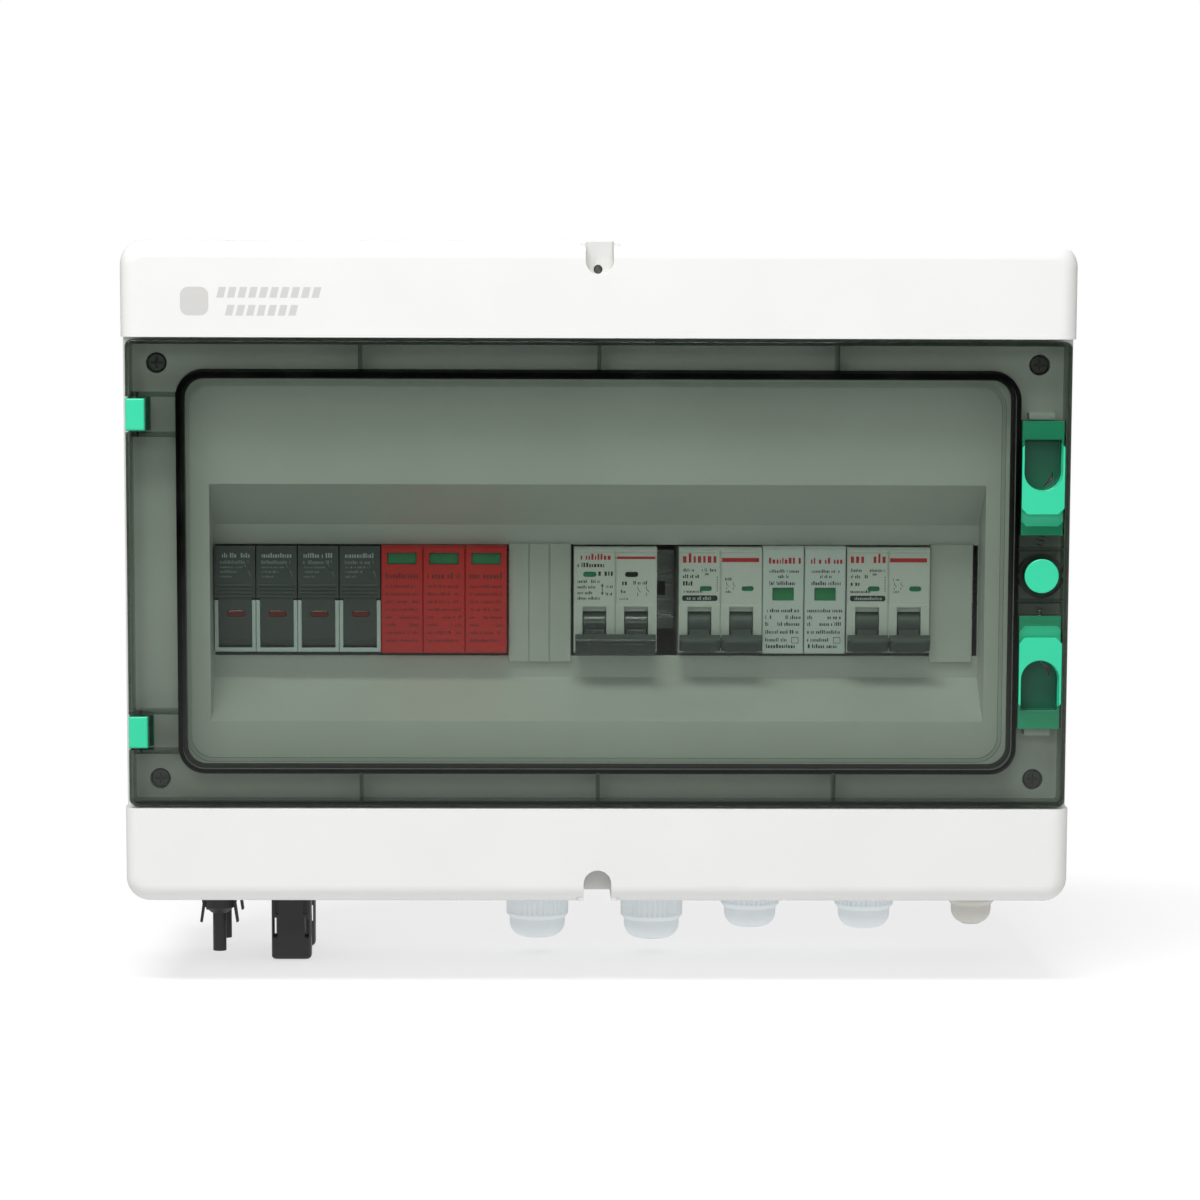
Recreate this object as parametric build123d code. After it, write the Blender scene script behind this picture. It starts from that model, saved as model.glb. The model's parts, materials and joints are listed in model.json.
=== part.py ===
"""DC combiner box for a small solar plant: a wall-hung plastic enclosure with a smoked hinged door
over one row of DIN-rail devices, cable glands and panel plugs in its floor.

Millimetres. +X is right, +Y goes into the wall, +Z is up. The origin is the centre of the mounting
face, so the box stands out of the wall towards -Y. A "level" is a depth behind the front plane.
"""

from build123d import *
import math
import os

# ---------------------------------------------------------------- driving dimensions
MODULE = 18.0            # width of one DIN module
WIDTH = 400.0            # front cover, left to right
HEIGHT = 278.0           # front cover, bottom to top
DEPTH = 140.0            # wall face to front plane
ROW_Z = -13.0            # height of the device row's centre line
WALL = 3.0               # base and sheet thickness

# enclosure
CORNER = 10.0            # cover corners, seen from the front
EDGE_ROUND = 7.0         # round along the cover's front edges
COVER_WALL = 3.5         # cover side walls
SPLIT = -92.0            # plane where cover and base meet
COVER_LIP = 6.0          # how far the cover laps over the base
LEDGE = 6.0              # depth of the cover's ledge in front of the split
BAY = 99.0               # half height of the door bay
BED_LEVEL = 16.0         # bed of the door bay
RECESS_LEVEL = 41.0      # floor of the device recess
RECESS_WIDTH = 328.6
RECESS_MOUTH = 100.4     # recess height at the bed
RECESS_FLOOR = 65.7      # recess height at its floor
RECESS_DROP = 1.1        # the recess floor sits this much below the row's centre line
SLOT_WIDTH = 328.0
SLOT_BOTTOM, SLOT_TOP = -24.6, 23.2    # edges of the slot, above the row's centre line
SCREW_X, SCREW_Z = 186.0, 88.0     # cover corner screws
NOTCH_Z = 131.2          # centre of the round end of the open notches
NOTCH_R = 5.9
NOTCH_LEVEL = 38.0
MIDDLE_SCREW_Z = 127.4   # slim screws in the notches, close to the round ends
MIDDLE_SCREW_R, MIDDLE_HEAD_R, MIDDLE_SINK = 1.2, 1.75, 3.0
SCREW_R = 2.0
SCREW_HEAD_R = 4.0
WALL_HOLE_X, WALL_HOLE_Z, WALL_HOLE_R = 170.0, 110.0, 2.75
BASE_WIDTH, BASE_HEIGHT = WIDTH - 4.0, HEIGHT - 4.0

# door
DOOR_WIDTH, DOOR_HEIGHT = 396.0, 196.0
DOOR_LEVEL = 1.0         # front face of the door
DOOR_SHEET = 2.5
DOOR_RIM = 2.0           # thickness of the rim
RIM_LEVEL = 15.0         # back edge of the rim
WINDOW_WIDTH, WINDOW_HEIGHT = 340.5, 156.3
WINDOW_X, WINDOW_Z = -1.3, 0.7
WINDOW_STEP = 2.0        # how far the window is sunk
SEAL_RIB_WIDTH, SEAL_RIB_HEIGHT = 354.4, 169.0
SEAL_RIB_LEVEL = 14.2
RIB = 1.6                # thin stiffening ribs
RIB_LEVEL = 12.0

# hinge
PIN_X = -194.5
PIN_LEVEL = 8.0
PIN_R = 1.5
RUNNING = 0.05           # radial clearance of every turning shaft
HINGE_Z = 66.8           # centre of a hinge clip
CLIP_HALF = 6.8          # half height of a clip
CLIP_PEG_X = -193.6      # peg under a clip, in a hole of the bed
NOTCH_HALF = 7.4         # half height of the door notch around it

# latches and plug, on the right edge of the door
LATCH_X = 186.6
PLUG_R = 7.24

# device rail
RAIL_FRONT = -46.0
RAIL_LENGTH = 350.0
BODY_HALF = 42.0         # half height of a device body
NOSE_HALF = 22.5         # half height of a device nose
BODY_DEPTH = 44.0        # rail to body shoulders
NOSE_DEPTH = 60.0        # rail to nose front
SIDE_GAP = 0.1           # each side of a device
TOP_CHAMFER = 1.3        # along the upper front edge of noses and cartridges
LABEL_SINK = 0.3         # depth of the switches' label fields
LABEL_HALF = 8.4         # half width of a label field
LABEL_BOTTOM, LABEL_TOP = -1.9, 20.4   # above the row's centre line

# left edges along the row
FUSE_X, FUSE_PITCH = -163.8, 17.8
DC_SURGE_X = -92.5
BLANK_STRIP_X, BLANK_STRIP_WIDTH = -37.9, 26.8
ISOLATOR_X = -10.05
BREAKER_1_X = 35.0
AC_SURGE_X = 70.8
BREAKER_2_X = 107.0
BLANK_PLATE_X, BLANK_PLATE_WIDTH = 143.3, 18.4
BLANK_BOTTOM, BLANK_TOP = -27.2, 23.8  # of both blanks, above the row's centre line

# floor: (x, dome diameter, thread radius, cable radius, lowest point)
GLAND_Y = -46.0
GLANDS = [
    (-25.0, 27.6, 11.25, 6.0, -168.2),
    (26.0, 27.6, 11.25, 6.0, -168.8),
    (70.0, 26.0, 10.2, 5.0, -163.6),
    (121.0, 26.0, 10.2, 5.0, -164.0),
    (169.0, 20.8, 7.6, 3.5, -162.3),
]
PLUG_X, SOCKET_X = -165.6, -133.7
PANEL_ROWS = (-64.0, -28.0)        # y of the front and back panel connectors
PANEL_HOLE_R = 6.0

FLOOR = -BASE_HEIGHT / 2           # outer face of the base's bottom wall
SIDES = (1, -1)


# ---------------------------------------------------------------- shape helpers
def level(depth):
    """y of a depth behind the front plane."""
    return depth - DEPTH


def above_rail(depth):
    """y of a depth measured forward from the rail."""
    return RAIL_FRONT - depth


def box(x, y, z):
    """Block between three (low, high) pairs."""
    spans = (x, y, z)
    centre = [(low + high) / 2 for low, high in spans]
    return Pos(*centre) * Box(*[high - low for low, high in spans])


def rod(x, y, z, r):
    """Round bar of radius r. The coordinate given as a (low, high) pair is its axis."""
    centre = [sum(v) / 2 if isinstance(v, tuple) else v for v in (x, y, z)]
    if isinstance(x, tuple):
        return Pos(*centre) * Rot(0, 90, 0) * Cylinder(r, x[1] - x[0])
    if isinstance(y, tuple):
        return Pos(*centre) * Rot(90, 0, 0) * Cylinder(r, y[1] - y[0])
    return Pos(*centre) * Cylinder(r, z[1] - z[0])


def slab(width, height, corner, y, x=0.0, z=0.0):
    """Plate facing the front, with rounded corners, between the y pair."""
    front, back = y
    outline = RectangleRounded(width, height, corner)
    return Pos(x, back, z) * Rot(90, 0, 0) * extrude(outline, back - front)


def ring(width, height, corner, thick, y, x=0.0, z=0.0):
    """Rectangular frame of wall thickness thick, measured inwards from its outer size."""
    hole = slab(width - 2 * thick, height - 2 * thick, max(corner - thick, 0.5), y, x, z)
    return slab(width, height, corner, y, x, z) - hole


def prism_x(points, x):
    """Bar along X whose section is the (y, z) outline."""
    outline = make_face(Polyline(*points, close=True))
    return extrude(Plane.YZ.offset(x[0]) * outline, x[1] - x[0])


def prism_y(points, y):
    """Bar along Y whose section is the (x, z) outline."""
    outline = make_face(Polyline(*points, close=True))
    return Pos(0, y[1], 0) * Rot(90, 0, 0) * extrude(outline, y[1] - y[0])


def hexagon(across_flats, x, y, z):
    """Hexagon bar along Z between the z pair."""
    outline = RegularPolygon(across_flats / 2, 6, major_radius=False)
    return Pos(x, y, z[0]) * extrude(outline, z[1] - z[0])


def oblong(x, z, wide, tall, y):
    """Bar along Y whose section is a slot with round ends."""
    reach = (wide - tall) / 2
    part = box((x - reach, x + reach), y, (z - tall / 2, z + tall / 2))
    for side in SIDES:
        part += rod(x + side * reach, y, z, tall / 2)
    return part


def front_edges(part):
    """Edges of the face nearest the front, lowest first."""
    return part.faces().sort_by(Axis.Y)[0].edges().sort_by(Axis.Z)


def turned(points, x, y):
    """Solid of revolution about a vertical axis at x, y, from an (r, z) outline."""
    outline = Plane.XZ * make_face(Polyline(*points, close=True))
    return Pos(x, y, 0) * revolve(outline, Axis.Z)


def low(part):
    """The same part on the other side of the box's horizontal centre plane."""
    return mirror(part, Plane.XY)


def both(part):
    """The part and its twin below the centre plane, as one shape."""
    return part + low(part)


def group(parts):
    """Separate solids that share one node."""
    return Compound([solid for part in parts for solid in part.solids()])


def row(z):
    """Height above the box's centre of a height above the row's centre line."""
    return z + ROW_Z


# ---------------------------------------------------------------- enclosure shells
def base_box():
    """Open tray that hangs on the wall and carries the rail, glands and bars."""
    half_w, half_h = BASE_WIDTH / 2, BASE_HEIGHT / 2
    shell = slab(BASE_WIDTH, BASE_HEIGHT, 9.0, (SPLIT, 0.0))
    back_edges = shell.faces().sort_by(Axis.Y)[-1].edges()
    shell = fillet(back_edges, 2.0)
    shell -= slab(BASE_WIDTH - 2 * WALL, BASE_HEIGHT - 2 * WALL, 6.0, (SPLIT, -WALL))
    for side in SIDES:
        for rise in SIDES:
            rib_x = sorted((side * SCREW_X, side * (half_w - 1.0)))
            rib_z = (rise * SCREW_Z - 1.2, rise * SCREW_Z + 1.2)
            shell += rod(side * SCREW_X, (SPLIT, -1.0), rise * SCREW_Z, 5.0)
            shell += box(rib_x, (SPLIT + 2.0, -1.0), rib_z)
            shell -= rod(side * SCREW_X, (SPLIT, -55.0), rise * SCREW_Z, SCREW_R + 0.02)
            shell -= rod(side * WALL_HOLE_X, (-WALL, 0.0), rise * WALL_HOLE_Z, WALL_HOLE_R)
        shell += rod(0.0, (SPLIT, -1.0), side * MIDDLE_SCREW_Z, 5.0)
        shell -= rod(0.0, (SPLIT, -55.0), side * MIDDLE_SCREW_Z, MIDDLE_SCREW_R + 0.02)
        post = box((side * 168 - 7, side * 168 + 7), (RAIL_FRONT + 7.5, -1.0), (row(-12), row(12)))
        shell += post - rod(side * 168.0, (RAIL_FRONT + 7.5, -20.0), ROW_Z, 1.92)
    shell &= slab(BASE_WIDTH, BASE_HEIGHT, 9.0, (SPLIT, 0.0))
    for x, _, thread_r, _, _ in GLANDS:
        shell -= rod(x, GLAND_Y, (FLOOR - 1, FLOOR + WALL + 1), thread_r + 0.1)
    for x in (PLUG_X, SOCKET_X):
        for y in PANEL_ROWS:
            shell -= rod(x, y, (FLOOR - 1, FLOOR + WALL + 1), PANEL_HOLE_R)
    for x in (-135.0, -80.0, 80.0, 135.0):
        mark = rod(x, GLAND_Y, (half_h - 0.6, half_h + 1), 11.5)
        shell -= mark - rod(x, GLAND_Y, (half_h - 0.6, half_h + 1), 10.7)
    return shell


def recess_outline(grow):
    """(y, z) section of the device recess, its walls moved out by grow."""
    mouth, floor = RECESS_MOUTH / 2 + grow, RECESS_FLOOR / 2 + grow
    front, back = level(BED_LEVEL), level(RECESS_LEVEL) + grow
    low_z, high_z = row(-floor - RECESS_DROP), row(floor - RECESS_DROP)
    return [(front, row(-mouth)), (back, low_z), (back, high_z), (front, row(mouth))]


def notch(z, y, r):
    """Open-ended U round a middle screw, running out over the edge it faces."""
    outward = math.copysign(HEIGHT / 2 + 2 - NOTCH_Z, z)
    span = sorted((z, z + outward))
    return rod(0.0, y, z, r) + box((-r, r), y, span)


def front_cover():
    """White cover: two proud panels, the door bay between them and the sunk device recess."""
    bed, bed_back = level(BED_LEVEL), level(BED_LEVEL) + WALL
    front, back = level(0.0), SPLIT + COVER_LIP
    inside = (WIDTH - 2 * COVER_WALL, HEIGHT - 2 * COVER_WALL, 8.0)
    shell = slab(WIDTH, HEIGHT, CORNER, (front, back))
    shell = fillet(shell.faces().sort_by(Axis.Y)[0].edges(), EDGE_ROUND)
    shell -= slab(BASE_WIDTH + 0.4, BASE_HEIGHT + 0.4, 9.2, (SPLIT, back))
    shell -= slab(BASE_WIDTH - 8, BASE_HEIGHT - 8, 6.0, (SPLIT - LEDGE, SPLIT))
    shell -= slab(*inside, (bed_back, SPLIT - LEDGE))
    keep = box((-WIDTH, WIDTH), (front, bed_back), (-BAY - WALL, BAY + WALL))
    shell -= slab(*inside, (front + WALL, bed_back)) - keep
    shell -= box((-WIDTH, WIDTH), (front - 1, bed), (-BAY, BAY))
    grow = 2.5
    half = RECESS_WIDTH / 2
    shell += prism_x(recess_outline(grow), (-half - grow, half + grow))
    shell -= prism_x(recess_outline(0.0), (-half, half))
    slot_z = (row(SLOT_BOTTOM), row(SLOT_TOP))
    slot_y = (level(RECESS_LEVEL) - 1, level(RECESS_LEVEL) + grow + 1)
    shell -= box((-SLOT_WIDTH / 2, SLOT_WIDTH / 2), slot_y, slot_z)
    for side in SIDES:
        for rise in SIDES:
            shell += rod(side * SCREW_X, (bed, SPLIT), rise * SCREW_Z, 6.0)
            shell -= rod(side * SCREW_X, (bed, SPLIT), rise * SCREW_Z, SCREW_R + 0.25)
            shell -= rod(side * SCREW_X, (bed, bed + 4.0), rise * SCREW_Z, SCREW_HEAD_R + 0.4)
        z = side * NOTCH_Z
        shell += notch(z, (front + 2.0, SPLIT), NOTCH_R + 2.5) & slab(
            WIDTH, HEIGHT - 1.0, CORNER, (front, back))
        shell -= notch(z, (front - 1, level(NOTCH_LEVEL)), NOTCH_R)
        sink_y = (level(NOTCH_LEVEL), level(NOTCH_LEVEL) + MIDDLE_SINK)
        shell -= rod(0.0, sink_y, side * MIDDLE_SCREW_Z, MIDDLE_HEAD_R + 0.15)
        shell -= rod(0.0, (sink_y[1], SPLIT), side * MIDDLE_SCREW_Z, MIDDLE_SCREW_R + 0.25)
    groove = (SPLIT - 2.6, SPLIT)
    shell -= ring(BASE_WIDTH - 0.3, BASE_HEIGHT - 0.3, 8.8, 2.7, groove)
    shell -= ring(SEAL_RIB_WIDTH + 2, SEAL_RIB_HEIGHT + 2, 12.0, 4.0, (bed, bed + 1.5))
    for rise in SIDES:
        shell -= rod(CLIP_PEG_X, (bed, bed_back + 1), rise * HINGE_Z, 2.05)
        shell += keeper(rise)
    return shell


def keeper(rise):
    """Small post on the bed, just beyond the end of a latch."""
    bed = level(BED_LEVEL)
    post = box((181.0, 192.0), (level(8.0), bed + 1.0), (66.2, 68.2))
    nose = prism_x([(level(8.0), 66.3), (level(8.0), 65.4), (level(9.2), 65.4), (level(11), 66.3)],
                   (181.0, 192.0))
    part = post + nose
    return part if rise > 0 else low(part)


def cover_seal():
    """Soft cord in the cover's groove, resting on the base's rim."""
    return ring(BASE_WIDTH - 0.6, BASE_HEIGHT - 0.6, 8.6, 2.4, (SPLIT - 2.5, SPLIT))


def door_seal():
    """Soft cord in the bed, under the door's sealing rib."""
    bed = level(BED_LEVEL)
    return ring(SEAL_RIB_WIDTH + 1.8, SEAL_RIB_HEIGHT + 1.8, 11.9, 3.8, (bed - 1.7, bed + 1.5))


def pan_screw(x, z, head_y, length, r, head_r, head_h):
    """Pan-head screw along Y, head towards the front, with a cross recess."""
    head = rod(x, (head_y - head_h, head_y), z, head_r)
    head = fillet(head.faces().sort_by(Axis.Y)[0].edges(), head_h * 0.35)
    screw = head + rod(x, (head_y, head_y + length), z, r)
    for wide, tall in ((head_r * 1.1, 0.7), (0.7, head_r * 1.1)):
        cut_y = (head_y - head_h - 1, head_y - head_h * 0.45)
        screw -= box((x - wide / 2, x + wide / 2), cut_y, (z - tall / 2, z + tall / 2))
    return screw


def cover_screws():
    """Four screws in the bay's corners and two in the notches."""
    screws = []
    for side in SIDES:
        for rise in SIDES:
            screws.append(pan_screw(side * SCREW_X, rise * SCREW_Z, level(BED_LEVEL) + 4.0,
                                    50.0, SCREW_R, SCREW_HEAD_R, 2.6))
        screws.append(pan_screw(0.0, side * MIDDLE_SCREW_Z, level(NOTCH_LEVEL) + MIDDLE_SINK,
                                30.0, MIDDLE_SCREW_R, MIDDLE_HEAD_R, 1.4))
    return group(screws)


# ---------------------------------------------------------------- door and what rides on it
def latch_opening():
    """Chamfered hole in the door sheet around the upper latch."""
    x0, x1, z0, z1, cut = LATCH_X - 9.3, LATCH_X + 9.3, 21.0, 56.5, 2.5
    outline = [(x0 + cut, z0), (x1 - cut, z0), (x1, z0 + cut), (x1, z1 - cut),
               (x1 - cut, z1), (x0 + cut, z1), (x0, z1 - cut), (x0, z0 + cut)]
    return prism_y(outline, (level(0.0), level(3.6)))


def door():
    """Smoked door: flat border, sunk window, rim and ribs on the back."""
    front, sheet = level(DOOR_LEVEL), level(DOOR_LEVEL + DOOR_SHEET)
    rim, rib_y = level(RIM_LEVEL), (sheet, level(RIB_LEVEL))
    part = slab(DOOR_WIDTH, DOOR_HEIGHT, 3.0, (front, rim))
    part = fillet(part.faces().sort_by(Axis.Y)[0].edges(), 0.8)
    part -= slab(DOOR_WIDTH - 2 * DOOR_RIM, DOOR_HEIGHT - 2 * DOOR_RIM, 1.2, (sheet, rim))
    window_back = sheet + WINDOW_STEP
    window = (WINDOW_X, WINDOW_Z)
    part += slab(WINDOW_WIDTH + 4, WINDOW_HEIGHT + 4, 11.0, (sheet, window_back), *window)
    part -= slab(WINDOW_WIDTH, WINDOW_HEIGHT, 9.0, (front, front + WINDOW_STEP), *window)
    part += ring(SEAL_RIB_WIDTH, SEAL_RIB_HEIGHT, 11.0, 2.0, (sheet, level(SEAL_RIB_LEVEL)))
    inner_x, inner_z = DOOR_WIDTH / 2 - DOOR_RIM, DOOR_HEIGHT / 2 - DOOR_RIM
    seal_x, seal_z = SEAL_RIB_WIDTH / 2, SEAL_RIB_HEIGHT / 2
    for x in (-100.0, 0.0, 100.0):
        part += both(box((x - RIB / 2, x + RIB / 2), rib_y, (seal_z, inner_z)))
    for z in (HINGE_Z - 8.4, HINGE_Z + 8.4):
        part += both(box((-inner_x, -seal_x), rib_y, (z - 1.0, z + 1.0)))
    part += both(box((seal_x, inner_x), rib_y, (11.0 - RIB / 2, 11.0 + RIB / 2)))
    part += rod(LATCH_X, (sheet, level(10.0)), 0.0, PLUG_R + 2.2)
    part -= rod(LATCH_X, (front - 1, level(10.0)), 0.0, PLUG_R + 0.06)
    ledge_y, ledge_z = (level(12.3), level(13.6)), (28.0, 50.0)
    part += both(box((inner_x - 1.6, inner_x), ledge_y, ledge_z))
    part += both(box((seal_x, seal_x + 1.6), ledge_y, ledge_z))
    part -= both(latch_opening())
    notch_z = (HINGE_Z - NOTCH_HALF, HINGE_Z + NOTCH_HALF)
    part -= both(box((-DOOR_WIDTH / 2 - 1, -187.4), (front - 1, rim + 1), notch_z))
    reach = (HINGE_Z - 9.4, HINGE_Z + 9.4)
    part -= both(rod(PIN_X, level(PIN_LEVEL), reach, PIN_R + 0.02))
    return part


def hinge_pins():
    """Two pins held in the door's hinge ribs."""
    reach = (HINGE_Z - 9.4, HINGE_Z + 9.4)
    pin = rod(PIN_X, level(PIN_LEVEL), reach, PIN_R)
    return group([pin, low(pin)])


def hinge_clip():
    """Green clip on the bed's left edge, turning bearing for one pin."""
    z = (HINGE_Z - CLIP_HALF, HINGE_Z + CLIP_HALF)
    bed = level(BED_LEVEL)
    knuckle = box((-198.0, -189.9), (level(1.2), bed), z)
    front = knuckle.faces().sort_by(Axis.Y)[0]
    knuckle = fillet(front.edges(), 0.8)
    foot = box((-198.0, -188.6), (level(14.6), bed), (z[0] - 0.4, z[1] + 0.4))
    clip = knuckle + foot + rod(CLIP_PEG_X, (bed, bed + 3.6), HINGE_Z, 2.0)
    clip -= rod(PIN_X, level(PIN_LEVEL), (z[0] - 1, z[1] + 1), PIN_R + RUNNING)
    return clip


def latch_u(r, y, end):
    """Finger cut-out of the latch, round at its inner end and running out to end."""
    return rod(LATCH_X, y, 43.7, r) + box((LATCH_X - r, LATCH_X + r), y, (43.7, end))


def latch():
    """Upper latch slide: face plate with a finger cut-out, neck and hollow body behind the door."""
    x0, x1, cut = LATCH_X - 9.0, LATCH_X + 9.0, 2.5
    plate = [(x0 + cut, 26.0), (x1 - cut, 26.0), (x1, 26.0 + cut), (x1, 54.0),
             (x1 - 2.2, 56.2), (x0 + 2.2, 56.2), (x0, 54.0), (x0, 26.0 + cut)]
    face = prism_y(plate, (level(0.6), level(3.2)))
    neck = box((x0 + 0.3, x1 - 0.3), (level(3.2), level(3.9)), (26.5 + cut, 54.0))
    body = box((LATCH_X - 8.8, LATCH_X + 8.8), (level(3.9), level(RIB_LEVEL)), (17.0, 65.0))
    part = face + neck - latch_u(8.1, (level(0.0), level(3.9)), 58.0)
    part += body - latch_u(7.8, (level(3.0), level(10.5)), 57.2)
    wedge = [(LATCH_X + 1.0, 36.8), (LATCH_X + 5.4, 39.5), (LATCH_X + 5.0, 43.5)]
    part -= prism_y(wedge, (level(10.0), level(13.0)))
    part -= rod(LATCH_X, level(8.0), (16.0, 27.0), 2.3)
    return part


def latch_spring():
    """Return spring between the door's rib and the upper latch's bore."""
    wire_r, coil_r = 0.25, 1.6
    low_end, high_end = 11.8 + wire_r, 27.0 - wire_r
    path = Helix(pitch=2.05, height=high_end - low_end, radius=coil_r)
    section = Plane(origin=path @ 0, z_dir=path % 0) * Circle(wire_r)
    return Pos(LATCH_X, level(8.0), low_end + 0.02) * sweep(section, path)


def lock_plug():
    """Round blanking plug pressed into the hole kept for a lock."""
    plug = rod(LATCH_X, (level(0.8), level(8.0)), 0.0, PLUG_R)
    plug = fillet(plug.faces().sort_by(Axis.Y)[0].edges(), 0.5)
    return plug - rod(LATCH_X, (level(3.2), level(9.0)), 0.0, PLUG_R - 1.6)


# ---------------------------------------------------------------- rail and plain device shapes
def din_rail():
    """35 mm top-hat rail."""
    front, web = RAIL_FRONT, RAIL_FRONT + 7.5
    half = RAIL_LENGTH / 2
    shape = [(front, -17.5), (front, -12.5), (web - 1, -12.5), (web - 1, 12.5), (front, 12.5),
             (front, 17.5), (front + 1, 17.5), (front + 1, 13.5), (web, 13.5), (web, -13.5),
             (front + 1, -13.5), (front + 1, -17.5)]
    rail = prism_x([(y, row(z)) for y, z in shape], (-half, half))
    for x in (-168.0, 168.0):
        rail -= rod(x, (web - 2, web + 1), ROW_Z, 2.1)
    for step in range(-6, 7):
        rail -= box((step * 25.0 - 6.5, step * 25.0 + 6.5), (web - 2, web + 1), (row(-3.1), row(3.1)))
    return rail


def rail_screws():
    """Two screws that hold the rail to its posts."""
    web_front = RAIL_FRONT + 6.5
    return group([pan_screw(x, ROW_Z, web_front, 15.0, 1.9, 3.5, 2.4) for x in (-168.0, 168.0)])


def device_body(x, width, nose=True):
    """Block of a rail device: body, rail channel with its hooks and, if wanted, the nose."""
    span = (x + SIDE_GAP, x + width - SIDE_GAP)
    back, hook_y = RAIL_FRONT + 4.0, RAIL_FRONT + 1.05
    part = box(span, (above_rail(BODY_DEPTH), back), (row(-BODY_HALF), row(BODY_HALF)))
    if nose:
        block = box(span, (above_rail(NOSE_DEPTH), above_rail(BODY_DEPTH) + 1.0),
                    (row(-NOSE_HALF), row(NOSE_HALF)))
        part += chamfer(front_edges(block)[-1], TOP_CHAMFER)
    part -= box(span, (RAIL_FRONT, hook_y), (row(-17.6), row(17.6)))
    part -= box(span, (hook_y, back), (row(-15.5), row(15.5)))
    return part


def terminal_holes(poles):
    """Screw and wire holes above and below the nose, at each pole centre."""
    holes = []
    for x in poles:
        for side in SIDES:
            z = row(side * 33.0)
            holes.append(rod(x, (above_rail(BODY_DEPTH), above_rail(28.0)), z, 3.0))
            reach = sorted((row(side * 36.0), row(side * (BODY_HALF + 1))))
            holes.append(rod(x, -68.0, tuple(reach), 3.2))
    return holes


def terminal_screw(x, z):
    """Clamp screw with a slotted head."""
    y = above_rail(28.0)
    screw = rod(x, (y - 3.0, y), z, 2.8)
    return screw - box((x - 2.5, x + 2.5), (y - 3.0, y - 1.8), (z - 0.5, z + 0.5))


def pole_centres(x, poles, pitch=MODULE):
    """X of each pole's centre in a device that starts at x."""
    return [x + pitch * (i + 0.5) for i in range(poles)]


# ---------------------------------------------------------------- fuse holders
FUSE_PIVOT_Y = above_rail(NOSE_DEPTH) + 4.4
FUSE_PIVOT_Z = row(-16.2)
FUSE_REACH = 39.0        # pivot to the top of a carrier
CARRIER_HALF = 7.1       # half width of a carrier below its head
CHEEK_TOP = -0.4         # top of the base's cheeks, just below the heads
FUSE_LAMP = (0.4, -6.2, 8.0, 3.0)  # offset from the middle, height above the row, width, height


def fuse_base(x):
    """Fuse holder base: cheeks, bottom lip and the cavity behind the carrier."""
    front = above_rail(NOSE_DEPTH)
    part = device_body(x, FUSE_PITCH, nose=False)
    span = (x + SIDE_GAP, x + FUSE_PITCH - SIDE_GAP)
    shoulder = above_rail(BODY_DEPTH)
    part += box(span, (front, shoulder), (row(-NOSE_HALF), row(CHEEK_TOP)))
    mid = x + FUSE_PITCH / 2
    cavity_z = (FUSE_PIVOT_Z - 4.6, row(23.2))
    cavity = CARRIER_HALF + 0.1
    part -= box((mid - cavity, mid + cavity), (front - 1, shoulder + 6.0), cavity_z)
    part -= rod((mid - 8.3, mid + 8.3), FUSE_PIVOT_Y, FUSE_PIVOT_Z, PIN_R + RUNNING)
    for hole in terminal_holes([mid]):
        part -= hole
    return part


def fuse_carrier(x):
    """Swing-out carrier: wide grip head, narrow lower part, two trunnions, open pocket behind."""
    front = above_rail(NOSE_DEPTH)
    mid = x + FUSE_PITCH / 2
    bottom, top = FUSE_PIVOT_Z - 4.4, row(NOSE_HALF)
    head = box((mid - 8.65, mid + 8.65), (front, front + 15.4), (row(0.4), top))
    across = (mid - CARRIER_HALF, mid + CARRIER_HALF)
    lower = box(across, (front, front + 15.4), (bottom, row(0.4)))
    foot = box(across, (front, FUSE_PIVOT_Y), (bottom, FUSE_PIVOT_Z))
    foot -= rod((mid - 8, mid + 8), FUSE_PIVOT_Y, FUSE_PIVOT_Z, 4.4)
    tail = box((mid - 6.7, mid + 6.7), (front + 15.4, front + 18.0), (bottom + 2, top - 1.5))
    part = (head + lower + tail) - foot
    part &= rod((mid - 9, mid + 9), FUSE_PIVOT_Y, FUSE_PIVOT_Z, FUSE_REACH)
    for i in range(4):
        z = row(1.2 + 1.55 * i)
        part += box((mid - 7.6, mid + 7.6), (front - 0.45, front + 0.5), (z - 0.4, z + 0.4))
    part -= rod(mid, front + 12.0, (row(-17.8), row(20.7)), 5.25)
    part -= box((mid - 5.25, mid + 5.25), (front + 12.0, front + 19), (row(-17.8), row(20.7)))
    part += rod((mid - 8.2, mid + 8.2), FUSE_PIVOT_Y, FUSE_PIVOT_Z, PIN_R) - box(
        (mid - 6.7, mid + 6.7), (front, front + 10), (bottom, row(0)))
    offset, rise, wide, tall = FUSE_LAMP
    return part - oblong(mid + offset, row(rise), wide, tall, (front - 1, front + 0.6))


def fuse_link(x):
    """Cylindrical 10 x 38 mm fuse: ceramic tube with an end cap at each end."""
    mid, y = x + FUSE_PITCH / 2, above_rail(NOSE_DEPTH) + 12.0
    link = rod(mid, y, (row(-17.6), row(20.4)), 5.15)
    for z in (row(-7.6), row(10.4)):
        link -= rod(mid, y, (z - 0.2, z + 0.2), 6) - rod(mid, y, (z - 0.2, z + 0.2), 4.95)
    return link


# ---------------------------------------------------------------- surge arresters
def surge_base(x, poles, depth):
    """Rail base with a U-shaped channel for plug-in cartridges."""
    width = poles * MODULE
    part = device_body(x, width, nose=False)
    span = (x - 1, x + width + 1)
    part -= box(span, (above_rail(BODY_DEPTH) - 1, above_rail(depth)), (row(-23.2), row(23.2)))
    for hole in terminal_holes(pole_centres(x, poles)):
        part -= hole
    return part


# status windows of the cartridges: width, height, centre above the row
DC_STATUS = (12.5, 4.9, 17.5)
AC_STATUS = (9.2, 5.6, 2.6)
CARTRIDGE_HALF = 23.0    # half height of a cartridge


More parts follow.
